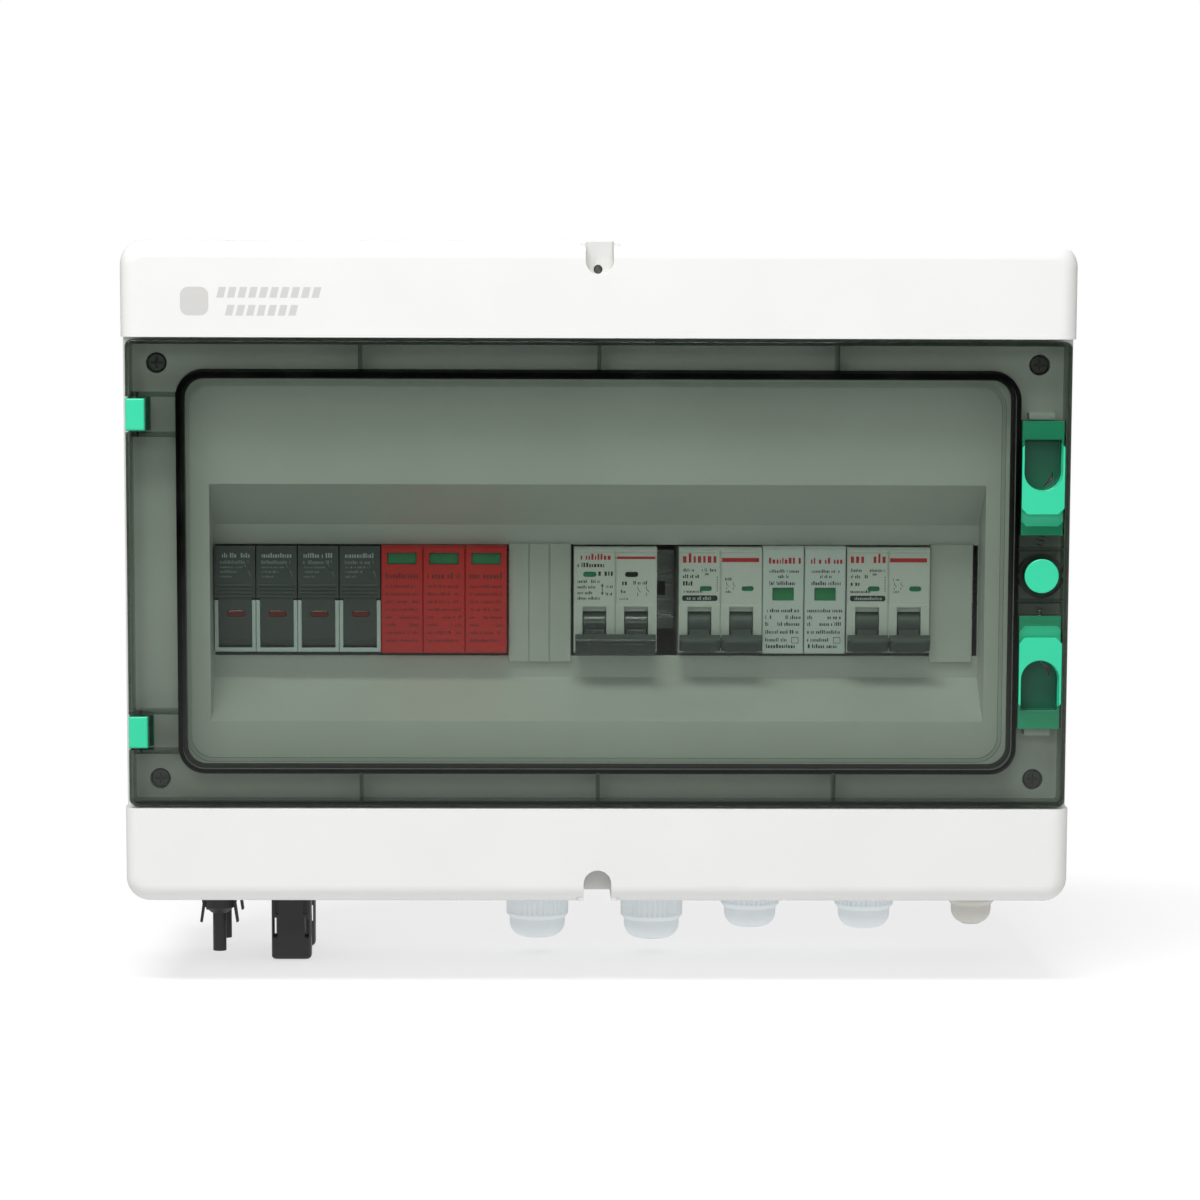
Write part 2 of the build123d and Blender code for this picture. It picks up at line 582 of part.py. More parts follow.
def surge_cartridge(x, depth, width, status):
    """Plug-in cartridge with a sunk status window and finger grooves in its ends."""
    mid, front = x + MODULE / 2, above_rail(NOSE_DEPTH)
    span = (mid - width / 2, mid + width / 2)
    part = box(span, (front, above_rail(depth)), (row(-CARTRIDGE_HALF), row(CARTRIDGE_HALF)))
    part = chamfer(front_edges(part)[-1], TOP_CHAMFER)
    part = chamfer(front_edges(part)[:-1], 0.4)
    wide, tall, rise = status
    window_z = (row(rise - tall / 2), row(rise + tall / 2))
    part -= box((mid - wide / 2, mid + wide / 2), (front - 1, front + 1.6), window_z)
    for side in SIDES:
        end_z = sorted((row(side * CARTRIDGE_HALF), row(side * (CARTRIDGE_HALF - 0.5))))
        for i in range(3):
            y = front + 4.0 + 1.8 * i
            part -= box((mid - 5.0, mid + 5.0), (y - 0.4, y + 0.4), tuple(end_z))
    return part


# ---------------------------------------------------------------- switching devices
LEVER_Y = above_rail(54.0)
LEVER_Z = row(-11.0)
LEVER_REST = 35.0        # degrees below the horizontal
DRUM_R = 6.2
DRUM_WIDTH = 9.6
WELL_WIDTH = 10.2
FLAG_TRAVEL = 4.0


def switch_body(x, window):
    """Two-pole case with a well for each handle drum and a window for each flag.

    window is (offset from the pole centre, height above the row, width, height).
    """
    part = device_body(x, 2 * MODULE - 0.2)
    front = above_rail(NOSE_DEPTH)
    offset, rise, wide, tall = window
    for pole in switch_poles(x):
        well = (pole - WELL_WIDTH / 2, pole + WELL_WIDTH / 2)
        part -= rod(well, LEVER_Y, LEVER_Z, DRUM_R + 0.4)
        part -= box(well, (front - 1, front + 3.0), (LEVER_Z - 8.0, LEVER_Z + 8.0))
        part -= rod((pole - 6.6, pole + 6.6), LEVER_Y, LEVER_Z, PIN_R + RUNNING)
        mid, z = pole + offset, row(rise)
        part -= box((mid - 3.8, mid + 3.8), (front + 1.0, front + 2.8), (z - 6.3, z + 6.3))
        part -= oblong(mid, z, wide, tall, (front - 1, front + 2))
        label_x = (pole - LABEL_HALF, pole + LABEL_HALF)
        part -= box(label_x, (front - 1, front + LABEL_SINK), (row(LABEL_BOTTOM), row(LABEL_TOP)))
    seam = x + MODULE - 0.1
    groove_z = (row(-NOSE_HALF), row(NOSE_HALF))
    part -= box((seam - 0.15, seam + 0.15), (front - 1, front + 0.5), groove_z)
    for hole in terminal_holes(switch_poles(x)):
        part -= hole
    return part


def switch_poles(x):
    """Pole centres of a two-pole case."""
    return pole_centres(x, 2, MODULE - 0.1)


def tilted_block(x, radial, half):
    """Block between two radii from the lever axis, tilted down to the rest angle."""
    block = box(x, (-radial[1], -radial[0]), (-half, half))
    return Pos(0, LEVER_Y, LEVER_Z) * Rot(LEVER_REST, 0, 0) * block


def lever(x, cap_width, radial, half):
    """Both poles' drums and arms under one tied handle, hanging in the off position."""
    poles = switch_poles(x)
    middle = sum(poles) / 2
    part = Part()
    for pole in poles:
        part += rod((pole - DRUM_WIDTH / 2, pole + DRUM_WIDTH / 2), LEVER_Y, LEVER_Z, DRUM_R)
        part += rod((pole - 6.4, pole + 6.4), LEVER_Y, LEVER_Z, PIN_R)
        part += tilted_block((pole - 4.2, pole + 4.2), (4.0, radial[0] + 1.0), 2.0)
        if cap_width:
            cap = tilted_block((pole - cap_width / 2, pole + cap_width / 2), radial, half)
            part += fillet(cap.edges().filter_by(Axis.X), 1.2)
    if cap_width:
        part += tilted_block((middle - 2, middle + 2), (radial[0] + 1.2, radial[1] - 1.2), half * 0.6)
    else:
        bar = tilted_block((middle - 17.2, middle + 17.2), radial, half)
        part += fillet(bar.edges().filter_by(Axis.X), 1.2)
    return part


def flags(x, window):
    """One position flag per pole, resting in the off position behind its window."""
    offset, rise, _, tall = window
    top = row(rise) + tall / 2 + 1.0
    y = (above_rail(NOSE_DEPTH) + 1.2, above_rail(NOSE_DEPTH) + 2.5)
    blades = []
    for pole in switch_poles(x):
        mid = pole + offset
        blades.append(box((mid - 3.5, mid + 3.5), y, (top - 8.0, top)))
    return group(blades)


BREAKER_WINDOW = (2.7, 4.9, 5.2, 2.2)
ISOLATOR_WINDOW = (-2.0, 10.9, 5.7, 2.3)


def blank(x, width, grooves):
    """Snap-in cover over unused modules of the slot."""
    z = (row(BLANK_BOTTOM), row(BLANK_TOP))
    face = box((x, x + width), (level(39.0), level(RECESS_LEVEL)), z)
    face = fillet(face.faces().sort_by(Axis.Y)[0].edges(), 0.5)
    for groove in grooves:
        face -= box((x + groove - 0.3, x + groove + 0.3), (level(38.5), level(39.6)), z)
    for side in SIDES:
        edge = row(side * 23.0)
        fin_z = sorted((edge, edge - side * 1.2))
        face += box((x + 2, x + width - 2), (level(40.5), level(46.0)), fin_z)
    return face


# ---------------------------------------------------------------- bars behind the row
BAR_Y = (-22.0, -14.0)
NEUTRAL_X, NEUTRAL_Z = (70.0, 136.0), 96.0
EARTH_X, EARTH_Z = (-84.0, -18.0), -92.0
BAR_PITCH = 11.0


def bar_places(x):
    """Centres of the six wire holes along a bar."""
    return [x[0] + BAR_PITCH * (i + 0.5) for i in range(6)]


def terminal_bar(x, z):
    """Brass bar with wire holes from below and clamp screws from the front."""
    bar = box(x, BAR_Y, (z - 4.5, z + 4.5))
    for place in bar_places(x):
        bar -= rod(place, BAR_Y[0] + 4.0, (z - 5, z + 5), 2.9)
        bar -= rod(place, (BAR_Y[0], BAR_Y[0] + 3.0), z, 1.95)
    return bar


def bar_screws(x, z):
    """Clamp screws of one bar."""
    return [pan_screw(place, z, BAR_Y[0], 1.0, 1.9, 2.6, 1.8) for place in bar_places(x)]


def bar_holders():
    """Two plastic feet under each bar, with a lip above and below it."""
    feet = []
    for x, z in ((NEUTRAL_X, NEUTRAL_Z), (EARTH_X, EARTH_Z)):
        for centre in (x[0] + BAR_PITCH, x[1] - BAR_PITCH):
            width = (centre - 2.6, centre + 2.6)
            foot = box(width, (BAR_Y[1], -WALL), (z - 6, z + 6))
            for side in SIDES:
                lip_z = sorted((z + side * 4.6, z + side * 6.0))
                foot += box(width, (BAR_Y[0] + 1, BAR_Y[1]), lip_z)
            feet.append(foot)
    return group(feet)


def terminal_screws():
    """Every clamp screw of the row's devices and of the bars."""
    poles = [FUSE_X + FUSE_PITCH * (i + 0.5) for i in range(4)]
    poles += pole_centres(DC_SURGE_X, 3) + pole_centres(AC_SURGE_X, 2)
    for x in (ISOLATOR_X, BREAKER_1_X, BREAKER_2_X):
        poles += switch_poles(x)
    screws = [terminal_screw(x, row(side * 33.0)) for x in poles for side in SIDES]
    screws += bar_screws(NEUTRAL_X, NEUTRAL_Z) + bar_screws(EARTH_X, EARTH_Z)
    return group(screws)


# ---------------------------------------------------------------- cable glands
GLAND_FLANGE = 5.0       # height of the flange under the floor
NUT_TOP = FLOOR - GLAND_FLANGE - 0.3


def gland_body(x, dome, thread_r, cable_r, lowest):
    """Flanged sleeve through the floor, threaded above and below."""
    stub_end = lowest + 11.0
    part = hexagon(dome * 0.93, x, GLAND_Y, (FLOOR - GLAND_FLANGE, FLOOR))
    part += rod(x, GLAND_Y, (FLOOR, FLOOR + 11.0), thread_r)
    part += rod(x, GLAND_Y, (stub_end, FLOOR - GLAND_FLANGE), thread_r - 0.4)
    part -= rod(x, GLAND_Y, (stub_end - 1, FLOOR + 12.0), cable_r + 0.8)
    part -= rod(x, GLAND_Y, (stub_end - 1, stub_end + 6.0), cable_r + 2.1)
    return part


def gland_seal(x, dome, thread_r, cable_r, lowest):
    """Rubber sleeve that grips the cable."""
    outline = [(cable_r, lowest + 3.4), (cable_r + 1.2, lowest + 3.4), (cable_r + 2.0, lowest + 6.0),
               (cable_r + 2.0, lowest + 17.0), (cable_r, lowest + 17.0)]
    return turned(outline, x, GLAND_Y)


def gland_nut(x, dome, thread_r, cable_r, lowest):
    """Domed nut: fluted grip above a rounded nose."""
    r, nose_r = dome / 2, dome / 2 - 1.5
    shoulder = lowest + 10.4
    bend = 6.5
    outline = [(thread_r - 0.2, NUT_TOP), (r, NUT_TOP), (r, shoulder), (nose_r, shoulder - 1.8)]
    for i in range(9):
        angle = math.radians(90 * i / 8)
        outline.append((nose_r - bend + bend * math.cos(angle), lowest + bend - bend * math.sin(angle)))
    outline += [(cable_r + 0.6, lowest), (cable_r + 0.6, lowest + 2.2), (cable_r + 2.6, lowest + 4.5),
                (thread_r - 0.2, lowest + 9.0)]
    nut = turned(outline, x, GLAND_Y)
    flutes = 36
    for i in range(flutes):
        angle = 2 * math.pi * i / flutes
        place = (x + (r + 0.25) * math.cos(angle), GLAND_Y + (r + 0.25) * math.sin(angle))
        nut -= rod(*place, (shoulder + 0.8, NUT_TOP - 1.0), 0.55)
    return nut


def gland_locknut(x, dome, thread_r, cable_r, lowest):
    """Hexagon nut inside the floor."""
    inside = FLOOR + WALL
    nut = hexagon(thread_r * 2 + 6.0, x, GLAND_Y, (inside, inside + 5.0))
    return nut - rod(x, GLAND_Y, (inside - 1, inside + 6), thread_r + 0.05)


# ---------------------------------------------------------------- panel connectors
def pv_plug(x, y):
    """Panel plug: flange, stepped collar, slim insulated tube and two spring arms."""
    top = FLOOR
    part = rod(x, y, (top - 6.0, top), 9.5)
    part += rod(x, y, (top - 11.0, top - 6.0), 8.2)
    part += turned([(0, top - 11), (6.5, top - 11), (6.5, top - 15.5), (3.6, top - 18), (0, top - 18)],
                   x, y)
    part += rod(x, y, (top - 35.0, top - 17.0), 2.95)
    part = part - rod(x, y, (top - 36.0, top - 22.0), 1.9)
    part += rod(x, y, (top, top + 11.0), PANEL_HOLE_R - 0.05)
    for side in SIDES:
        outer = [(side * 6.5, top - 4), (side * 8.6, top - 6), (side * 7.4, top - 14),
                 (side * 8.5, top - 22), (side * 7.5, top - 22.4), (side * 6.2, top - 14),
                 (side * 7.2, top - 7)]
        part += Pos(x, 0, 0) * prism_y(outer, (y - 2.2, y + 2.2))
    return part


def pv_socket(x, y):
    """Panel socket: shell with two side windows and a deep round bore."""
    top, end = FLOOR, FLOOR - 38.0
    half_w, half_d = 8.7, 7.0
    part = rod(x, y, (top - 3.0, top), 9.5)
    shell = box((x - half_w, x + half_w), (y - half_d, y + half_d), (end, top - 3.0))
    shell = fillet(shell.edges().filter_by(Axis.Z), 3.0)
    shell = chamfer(shell.faces().sort_by(Axis.Z)[0].edges(), 0.8)
    part += shell
    part -= rod(x, y, (end - 1, end + 28.0), 5.2)
    part += rod(x, y, (end + 8.0, end + 29.0), 2.6) - rod(x, y, (end + 7.0, end + 24.0), 1.4)
    for side in SIDES:
        window_x = sorted((x + side * 5.0, x + side * (half_w + 1)))
        part -= box(window_x, (y - 2.2, y + 2.2), (end + 9.0, end + 19.0))
        slot_x = sorted((x + side * 5.9, x + side * 7.9))
        part -= box(slot_x, (y - half_d - 1, y + half_d + 1), (end + 9.5, end + 18.5))
        groove_x = (x + side * 6.2 - 0.8, x + side * 6.2 + 0.8)
        part -= box(groove_x, (y - half_d - 1, y - half_d + 0.8), (end + 20.0, end + 27.5))
        part -= box(groove_x, (y - half_d - 1, y - half_d + 0.8), (end + 29.0, end + 34.0))
    part += rod(x, y, (top, top + 11.0), PANEL_HOLE_R - 0.05)
    return part


def pv_locknut(x, y):
    """Hexagon nut on a panel connector, inside the floor."""
    inside = FLOOR + WALL
    nut = hexagon(16.0, x, y, (inside, inside + 4.0))
    return nut - rod(x, y, (inside - 1, inside + 5), PANEL_HOLE_R)


# ---------------------------------------------------------------- wiring
WIRE_Y = -68.0           # wire holes of the devices
WIRE_R = 2.6
TERMINAL_TOP = row(37.0)
TERMINAL_BOTTOM = row(-37.0)


def wire(points, bend):
    """Insulated conductor that follows the points, its corners rounded to the bend radius."""
    path = FilletPolyline(*points, radius=bend)
    section = Plane(origin=path @ 0, z_dir=path % 0) * Circle(WIRE_R)
    return sweep(section, path)


def top_loop(x0, x1, rise):
    """Jumper between two upper terminals, squared off at the height rise."""
    points = [(x0, WIRE_Y, TERMINAL_TOP), (x0, WIRE_Y, rise), (x1, WIRE_Y, rise),
              (x1, WIRE_Y, TERMINAL_TOP)]
    return wire(points, min(12.0, (x1 - x0) / 2 - 0.5))


def lead(start, end, run_out):
    """Lead whose ends leave upwards from start and arrive upwards at end."""
    after = (start[0], start[1], start[2] + run_out)
    before = (end[0], end[1], end[2] - run_out)
    return wire([start, after, before, end], 7.0)


def wires():
    """All internal leads, grouped by the colour of their insulation."""
    fuses = [FUSE_X + FUSE_PITCH * (i + 0.5) for i in range(4)]
    dc_surge = pole_centres(DC_SURGE_X, 3)
    ac_surge = pole_centres(AC_SURGE_X, 2)
    isolator = switch_poles(ISOLATOR_X)
    breaker_1, breaker_2 = switch_poles(BREAKER_1_X), switch_poles(BREAKER_2_X)
    bar_y = BAR_Y[0] + 4.0
    neutral, earth = bar_places(NEUTRAL_X), bar_places(EARTH_X)

    def from_panel(x, y, terminal_x):
        return lead((x, y, FLOOR + 11.0), (terminal_x, WIRE_Y, TERMINAL_BOTTOM), 18.0)

    def to_neutral(terminal_x, bar_x):
        return lead((terminal_x, WIRE_Y, TERMINAL_TOP), (bar_x, bar_y, NEUTRAL_Z - 2.0), 16.0)

    def to_earth(terminal_x, bar_x):
        return lead((bar_x, bar_y, EARTH_Z + 2.0), (terminal_x, WIRE_Y, TERMINAL_BOTTOM), 15.0)

    front, back = PANEL_ROWS
    return {
        "wires_red": group([
            from_panel(PLUG_X, front, fuses[0]),
            from_panel(PLUG_X, back, fuses[2]),
            top_loop(fuses[0], isolator[1], 104.0),
            top_loop(fuses[2], dc_surge[2], 72.0),
        ]),
        "wires_black": group([
            from_panel(SOCKET_X, front, fuses[1]),
            from_panel(SOCKET_X, back, fuses[3]),
            top_loop(fuses[1], isolator[0], 88.0),
            top_loop(fuses[3], dc_surge[0], 56.0),
            top_loop(breaker_1[0], ac_surge[0], 62.0),
        ]),
        "wires_blue": group([
            to_neutral(breaker_1[1], neutral[0]),
            to_neutral(breaker_2[1], neutral[5]),
        ]),
        "wires_earth": group([
            to_earth(dc_surge[1], earth[1]),
            to_earth(ac_surge[1], earth[5]),
        ]),
    }


# ---------------------------------------------------------------- the assembly
def nodes():
    """Every named sub-part."""
    found = {
        "base_box": base_box(),
        "front_cover": front_cover(),
        "cover_seal": cover_seal(),
        "cover_screws": cover_screws(),
        "door": door(),
        "door_seal": door_seal(),
        "hinge_pins": hinge_pins(),
        "upper_hinge_clip": hinge_clip(),
        "lower_hinge_clip": low(hinge_clip()),
        "upper_latch": latch(),
        "lower_latch": low(latch()),
        "upper_latch_spring": latch_spring(),
        "lower_latch_spring": low(latch_spring()),
        "lock_plug": lock_plug(),
        "din_rail": din_rail(),
        "rail_screws": rail_screws(),
        "dc_surge_base": surge_base(DC_SURGE_X, 3, 18.0),
        "ac_surge_base": surge_base(AC_SURGE_X, 2, 20.0),
        "blank_strip": blank(BLANK_STRIP_X, BLANK_STRIP_WIDTH, (8.8, 17.6)),
        "blank_plate": blank(BLANK_PLATE_X, BLANK_PLATE_WIDTH, ()),
        "isolator_body": switch_body(ISOLATOR_X, ISOLATOR_WINDOW),
        "isolator_lever": lever(ISOLATOR_X, 0.0, (10.8, 16.0), 4.2),
        "isolator_flags": flags(ISOLATOR_X, ISOLATOR_WINDOW),
        "neutral_bar": terminal_bar(NEUTRAL_X, NEUTRAL_Z),
        "earth_bar": terminal_bar(EARTH_X, EARTH_Z),
        "bar_holders": bar_holders(),
        "terminal_screws": terminal_screws(),
        "gland_bodies": group([gland_body(*gland) for gland in GLANDS]),
        "gland_nuts": group([gland_nut(*gland) for gland in GLANDS]),
        "gland_seals": group([gland_seal(*gland) for gland in GLANDS]),
        "gland_locknuts": group([gland_locknut(*gland) for gland in GLANDS]),
        "pv_plugs": group([pv_plug(PLUG_X, y) for y in PANEL_ROWS]),
        "pv_sockets": group([pv_socket(SOCKET_X, y) for y in PANEL_ROWS]),
        "pv_locknuts": group([pv_locknut(x, y) for x in (PLUG_X, SOCKET_X) for y in PANEL_ROWS]),
    }
    fuse_places = [FUSE_X + FUSE_PITCH * i for i in range(4)]
    found["fuse_bases"] = group([fuse_base(x) for x in fuse_places])
    for number, x in enumerate(fuse_places, 1):
        found[f"fuse_carrier_{number}"] = fuse_carrier(x)
        found[f"fuse_link_{number}"] = fuse_link(x)
    for number in range(3):
        x = DC_SURGE_X + MODULE * number
        found[f"dc_surge_cartridge_{number + 1}"] = surge_cartridge(x, 18.0, 17.8, DC_STATUS)
    for number in range(2):
        x = AC_SURGE_X + MODULE * number
        found[f"ac_surge_cartridge_{number + 1}"] = surge_cartridge(x, 20.0, 17.6, AC_STATUS)
    for number, x in ((1, BREAKER_1_X), (2, BREAKER_2_X)):
        found[f"breaker_{number}_body"] = switch_body(x, BREAKER_WINDOW)
        found[f"breaker_{number}_lever"] = lever(x, 17.4, (10.2, 14.6), 3.4)
        found[f"breaker_{number}_flags"] = flags(x, BREAKER_WINDOW)
    found.update(wires())
    return found


def main():
    os.makedirs("parts", exist_ok=True)
    for name, shape in nodes().items():
        export_step(shape, f"parts/{name}.step")


main()
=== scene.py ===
"""Looks of the dc combiner box: materials, printed fields, lenses and the studio round it.

Metres, in the frame of the CAD model: +X right, +Y into the wall, +Z up, and the front faces -Y.
"""

import json
import math
import random

import bmesh
import bpy
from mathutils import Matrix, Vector

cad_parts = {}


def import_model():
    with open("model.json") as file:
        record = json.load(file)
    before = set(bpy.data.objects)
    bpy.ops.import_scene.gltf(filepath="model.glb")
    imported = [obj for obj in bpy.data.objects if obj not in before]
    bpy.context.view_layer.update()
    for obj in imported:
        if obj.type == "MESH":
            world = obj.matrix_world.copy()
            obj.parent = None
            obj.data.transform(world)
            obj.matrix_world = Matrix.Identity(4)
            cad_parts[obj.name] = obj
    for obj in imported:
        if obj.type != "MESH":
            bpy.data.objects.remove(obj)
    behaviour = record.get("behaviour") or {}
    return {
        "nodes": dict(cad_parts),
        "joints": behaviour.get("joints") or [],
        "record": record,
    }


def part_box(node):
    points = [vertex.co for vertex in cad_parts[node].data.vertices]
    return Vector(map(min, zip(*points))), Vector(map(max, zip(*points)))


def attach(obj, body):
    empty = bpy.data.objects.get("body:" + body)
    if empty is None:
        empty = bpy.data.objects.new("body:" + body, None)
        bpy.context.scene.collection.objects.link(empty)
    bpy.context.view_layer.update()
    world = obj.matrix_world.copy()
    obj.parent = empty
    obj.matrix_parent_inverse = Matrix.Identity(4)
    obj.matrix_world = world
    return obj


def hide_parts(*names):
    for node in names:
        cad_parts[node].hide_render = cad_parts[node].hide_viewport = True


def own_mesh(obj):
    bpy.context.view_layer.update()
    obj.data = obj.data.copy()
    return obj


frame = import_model()
bpy.context.view_layer.update()

MM = 0.001
JOINTS = {joint["name"]: joint for joint in frame["joints"]}

# the camera that stands where the photographer stood
CAMERA_PLACE = (-0.0351, -1.9030, 0.1320)
CAMERA_TILT = (82.348, -0.182, -0.868)
CAMERA_LENS = 126.07
CAMERA_SHIFT = (0.0169, 0.1858)

# studio
FLOOR_Z = -0.1756
FLOOR_RADIUS = 14.0
BACKDROP = (1.0, 1.0, 1.0)
FADE_NEAR, FADE_FAR = 0.20, 0.95           # the floor turns into the backdrop between these distances
MIRRORED_NEAR, MIRRORED_FAR = 1.1, 3.0     # reflections of the floor fade between these distances

# printed fields
INK_THICKNESS = 0.035 * MM
INK_SUNK = 0.02 * MM
LABEL_SINK = 0.3 * MM       # the switches' label fields lie this deep

# switches
LEVER_DROOP = math.radians(35.0)    # at rest the handles hang this far below the horizontal
POLE_PITCH = 17.9 * MM              # from one pole of a switch to the next


# ---------------------------------------------------------------- shader helpers
class Shader:
    """One node material, built up step by step."""

    def __init__(self, name):
        self.material = bpy.data.materials.new(name)
        self.material.use_nodes = True
        self.tree = self.material.node_tree
        self.tree.nodes.clear()
        self.place = self.add("TexCoord").outputs["Object"]

    def add(self, kind, inputs=None, **settings):
        """A new node, with its settings and its inputs (values or sockets)."""
        made = self.tree.nodes.new("ShaderNode" + kind)
        for key, value in settings.items():
            setattr(made, key, value)
        for key, value in (inputs or {}).items():
            self.feed(made.inputs[key], value)
        return made

    def feed(self, socket, value):
        """Connects a socket, or sets its value; a colour gets its alpha."""
        if isinstance(value, bpy.types.NodeSocket):
            self.tree.links.new(value, socket)
        elif socket.type == "RGBA" and len(value) == 3:
            socket.default_value = (*value, 1.0)
        else:
            socket.default_value = value

    def noise(self, scale, detail=2.0, stretch=None):
        """Noise from 0 to 1 in object space; scale is in features per metre."""
        place = self.place
        if stretch:
            place = self.add("Mapping", {"Vector": place, "Scale": stretch}).outputs["Vector"]
        made = self.add("TexNoise", {"Vector": place, "Scale": scale, "Detail": detail})
        return made.outputs["Fac"]

    def spread(self, value, low, high, out_low=0.0, out_high=1.0):
        """value from low..high to out_low..out_high, clamped."""
        made = self.add("MapRange", {"Value": value, "From Min": low, "From Max": high,
                                     "To Min": out_low, "To Max": out_high})
        return made.outputs["Result"]

    def maths(self, operation, a, b):
        made = self.add("Math", {0: a, 1: b}, operation=operation)
        return made.outputs["Value"]

    def mix(self, factor, a, b):
        """Colour a where factor is 0 and b where it is 1."""
        made = self.add("Mix", {0: factor, 6: a, 7: b}, data_type="RGBA")
        return made.outputs[2]

    def axis(self, name):
        """One coordinate of the point, in metres."""
        return self.add("SeparateXYZ", {0: self.place}).outputs[name]

    def rounded(self, radius):
        """Normal that rounds the sharp edges, and a mask of where they are."""
        soft = self.add("Bevel", {"Radius": radius}, samples=4).outputs["Normal"]
        flat = self.add("NewGeometry").outputs["Normal"]
        dot = self.add("VectorMath", {0: soft, 1: flat}, operation="DOT_PRODUCT").outputs["Value"]
        return soft, self.spread(dot, 0.998, 0.86)

    def bump(self, height, distance, normal=None, strength=1.0):
        inputs = {"Height": height, "Distance": distance, "Strength": strength}
        if normal is not None:
            inputs["Normal"] = normal
        return self.add("Bump", inputs).outputs["Normal"]

    def finish(self, surface, volume=None):
        """Connects the output and returns the material."""
        output = self.add("OutputMaterial", {"Surface": surface})
        if volume is not None:
            self.feed(output.inputs["Volume"], volume)
        return self.material


def shade(colour, amount):
    """colour made lighter (amount above 1) or darker."""
    return tuple(min(c * amount, 1.0) for c in colour)


# ---------------------------------------------------------------- materials
def moulded(name, colour, rough=0.4, grain=0.012, grain_size=0.45, mottle=0.03, wear=1.10,
            edge=0.35, coat=0.0, tint=None):
    """Injection-moulded plastic: fine spark-eroded grain, slow flow mottling, edges rubbed smooth.

    grain and grain_size are in millimetres. tint changes the colour node before it is used.
    """
    s = Shader(name)
    normal, edges = s.rounded(edge * MM)
    flow = s.spread(s.noise(22.0, 3.0), 0.3, 0.7)
    tone = s.mix(flow, shade(colour, 1 - mottle), shade(colour, 1 + mottle))
    if tint:
        tone = tint(s, tone)
    fleck = s.spread(s.noise(1900.0, 1.0), 0.70, 0.78, 0.0, 0.22)
    tone = s.mix(fleck, tone, shade(colour, 0.78))
    rubbed = s.maths("MULTIPLY", edges, s.spread(s.noise(160.0, 2.0), 0.35, 0.65, 0.15, 0.8))
    tone = s.mix(rubbed, tone, shade(colour, wear))
    gloss = s.spread(s.noise(70.0, 4.0), 0.3, 0.7, rough - 0.05, rough + 0.06)
    gloss = s.maths("SUBTRACT", gloss, s.maths("MULTIPLY", rubbed, 0.10))
    skin = s.bump(s.noise(240.0, 2.0), 0.03 * MM, normal)
    skin = s.bump(s.noise(1.0 / (grain_size * MM), 2.0), grain * MM, skin)
    surface = s.add("BsdfPrincipled", {"Base Color": tone, "Roughness": gloss, "Normal": skin,
                                       "IOR": 1.5, "Coat Weight": coat})
    return s.finish(surface.outputs["BSDF"])


def smoked_sheet(name, absorb, skin, rim_shade_skin, rough=0.03):
    """Clear smoked sheet: light passes straight and reflects by Fresnel.

    It dims by absorb (per metre) inside, and at each surface by the skin colour, or by
    rim_shade_skin where the surface is the side of a rim or rib: that darker tint is painted
    shade, which darkens the rims and ribs and the shadows cast through them.
    """
    s = Shader(name)
    ripple = s.bump(s.noise(26.0, 1.0), 0.06 * MM)
    inside = s.add("NewGeometry").outputs["Backfacing"]
    index = s.spread(inside, 0.0, 1.0, 1.5, 1 / 1.5)
    fresnel = s.add("Fresnel", {"IOR": index, "Normal": ripple}).outputs["Fac"]
    smudge = s.spread(s.noise(55.0, 5.0), 0.45, 0.75, rough, rough + 0.10)
    facing = s.add("SeparateXYZ", {0: s.add("NewGeometry").outputs["Normal"]}).outputs["Y"]
    # the side faces of rims and ribs take the darker tint: painted shade
    side = s.spread(s.maths("ABSOLUTE", facing, 0.0), 0.5, 0.15)
    patchy = s.mix(s.spread(s.noise(18.0, 2.0), 0.3, 0.7), shade(skin, 0.99), shade(skin, 1.01))
    clear = s.add("BsdfTransparent", {"Color": s.mix(side, patchy, rim_shade_skin)})
    glossy = s.add("BsdfGlossy", {"Color": (0.9, 0.9, 0.9), "Roughness": smudge, "Normal": ripple})
    surface = s.add("MixShader", {0: fresnel, 1: clear.outputs[0], 2: glossy.outputs[0]})
    strongest = max(absorb)
    passed = tuple(1 - a / (strongest * 1.05) for a in absorb)
    volume = s.add("VolumeAbsorption", {"Color": passed, "Density": strongest * 1.05})
    return s.finish(surface.outputs[0], volume.outputs[0])


def metal(name, colour, rough=0.3, brush=(1.0, 1.0, 1.0), stain=(0.8, 0.7, 0.5)):
    """Plated or plain metal, brushed along its longest scale, with a faint stain in its tone."""
    s = Shader(name)
    normal, edges = s.rounded(0.2 * MM)
    stained = s.spread(s.noise(90.0, 3.0), 0.45, 0.75, 0.0, 0.35)
    tone = s.mix(stained, colour, tuple(c * t for c, t in zip(colour, stain)))
    tone = s.mix(s.maths("MULTIPLY", edges, 0.6), tone, shade(colour, 1.15))
    lines = s.noise(900.0, 2.0, stretch=brush)
    gloss = s.spread(lines, 0.3, 0.7, rough - 0.08, rough + 0.10)
    skin = s.bump(lines, 0.01 * MM, normal)
    surface = s.add("BsdfPrincipled", {"Base Color": tone, "Metallic": 1.0, "Roughness": gloss,
                                       "Normal": skin})
    return s.finish(surface.outputs["BSDF"])


def rubber(name, colour, rough=0.75):
    """Soft cord or sleeve: open pores and a dull bloom."""
    s = Shader(name)
    pores = s.noise(1500.0, 3.0)
    bloom = s.spread(s.noise(120.0, 3.0), 0.4, 0.7)
    tone = s.mix(bloom, colour, shade(colour, 1.8))
    gloss = s.spread(pores, 0.3, 0.7, rough - 0.1, rough + 0.1)
    surface = s.add("BsdfPrincipled", {"Base Color": tone, "Roughness": gloss,
                                       "Normal": s.bump(pores, 0.06 * MM)})
    return s.finish(surface.outputs["BSDF"])


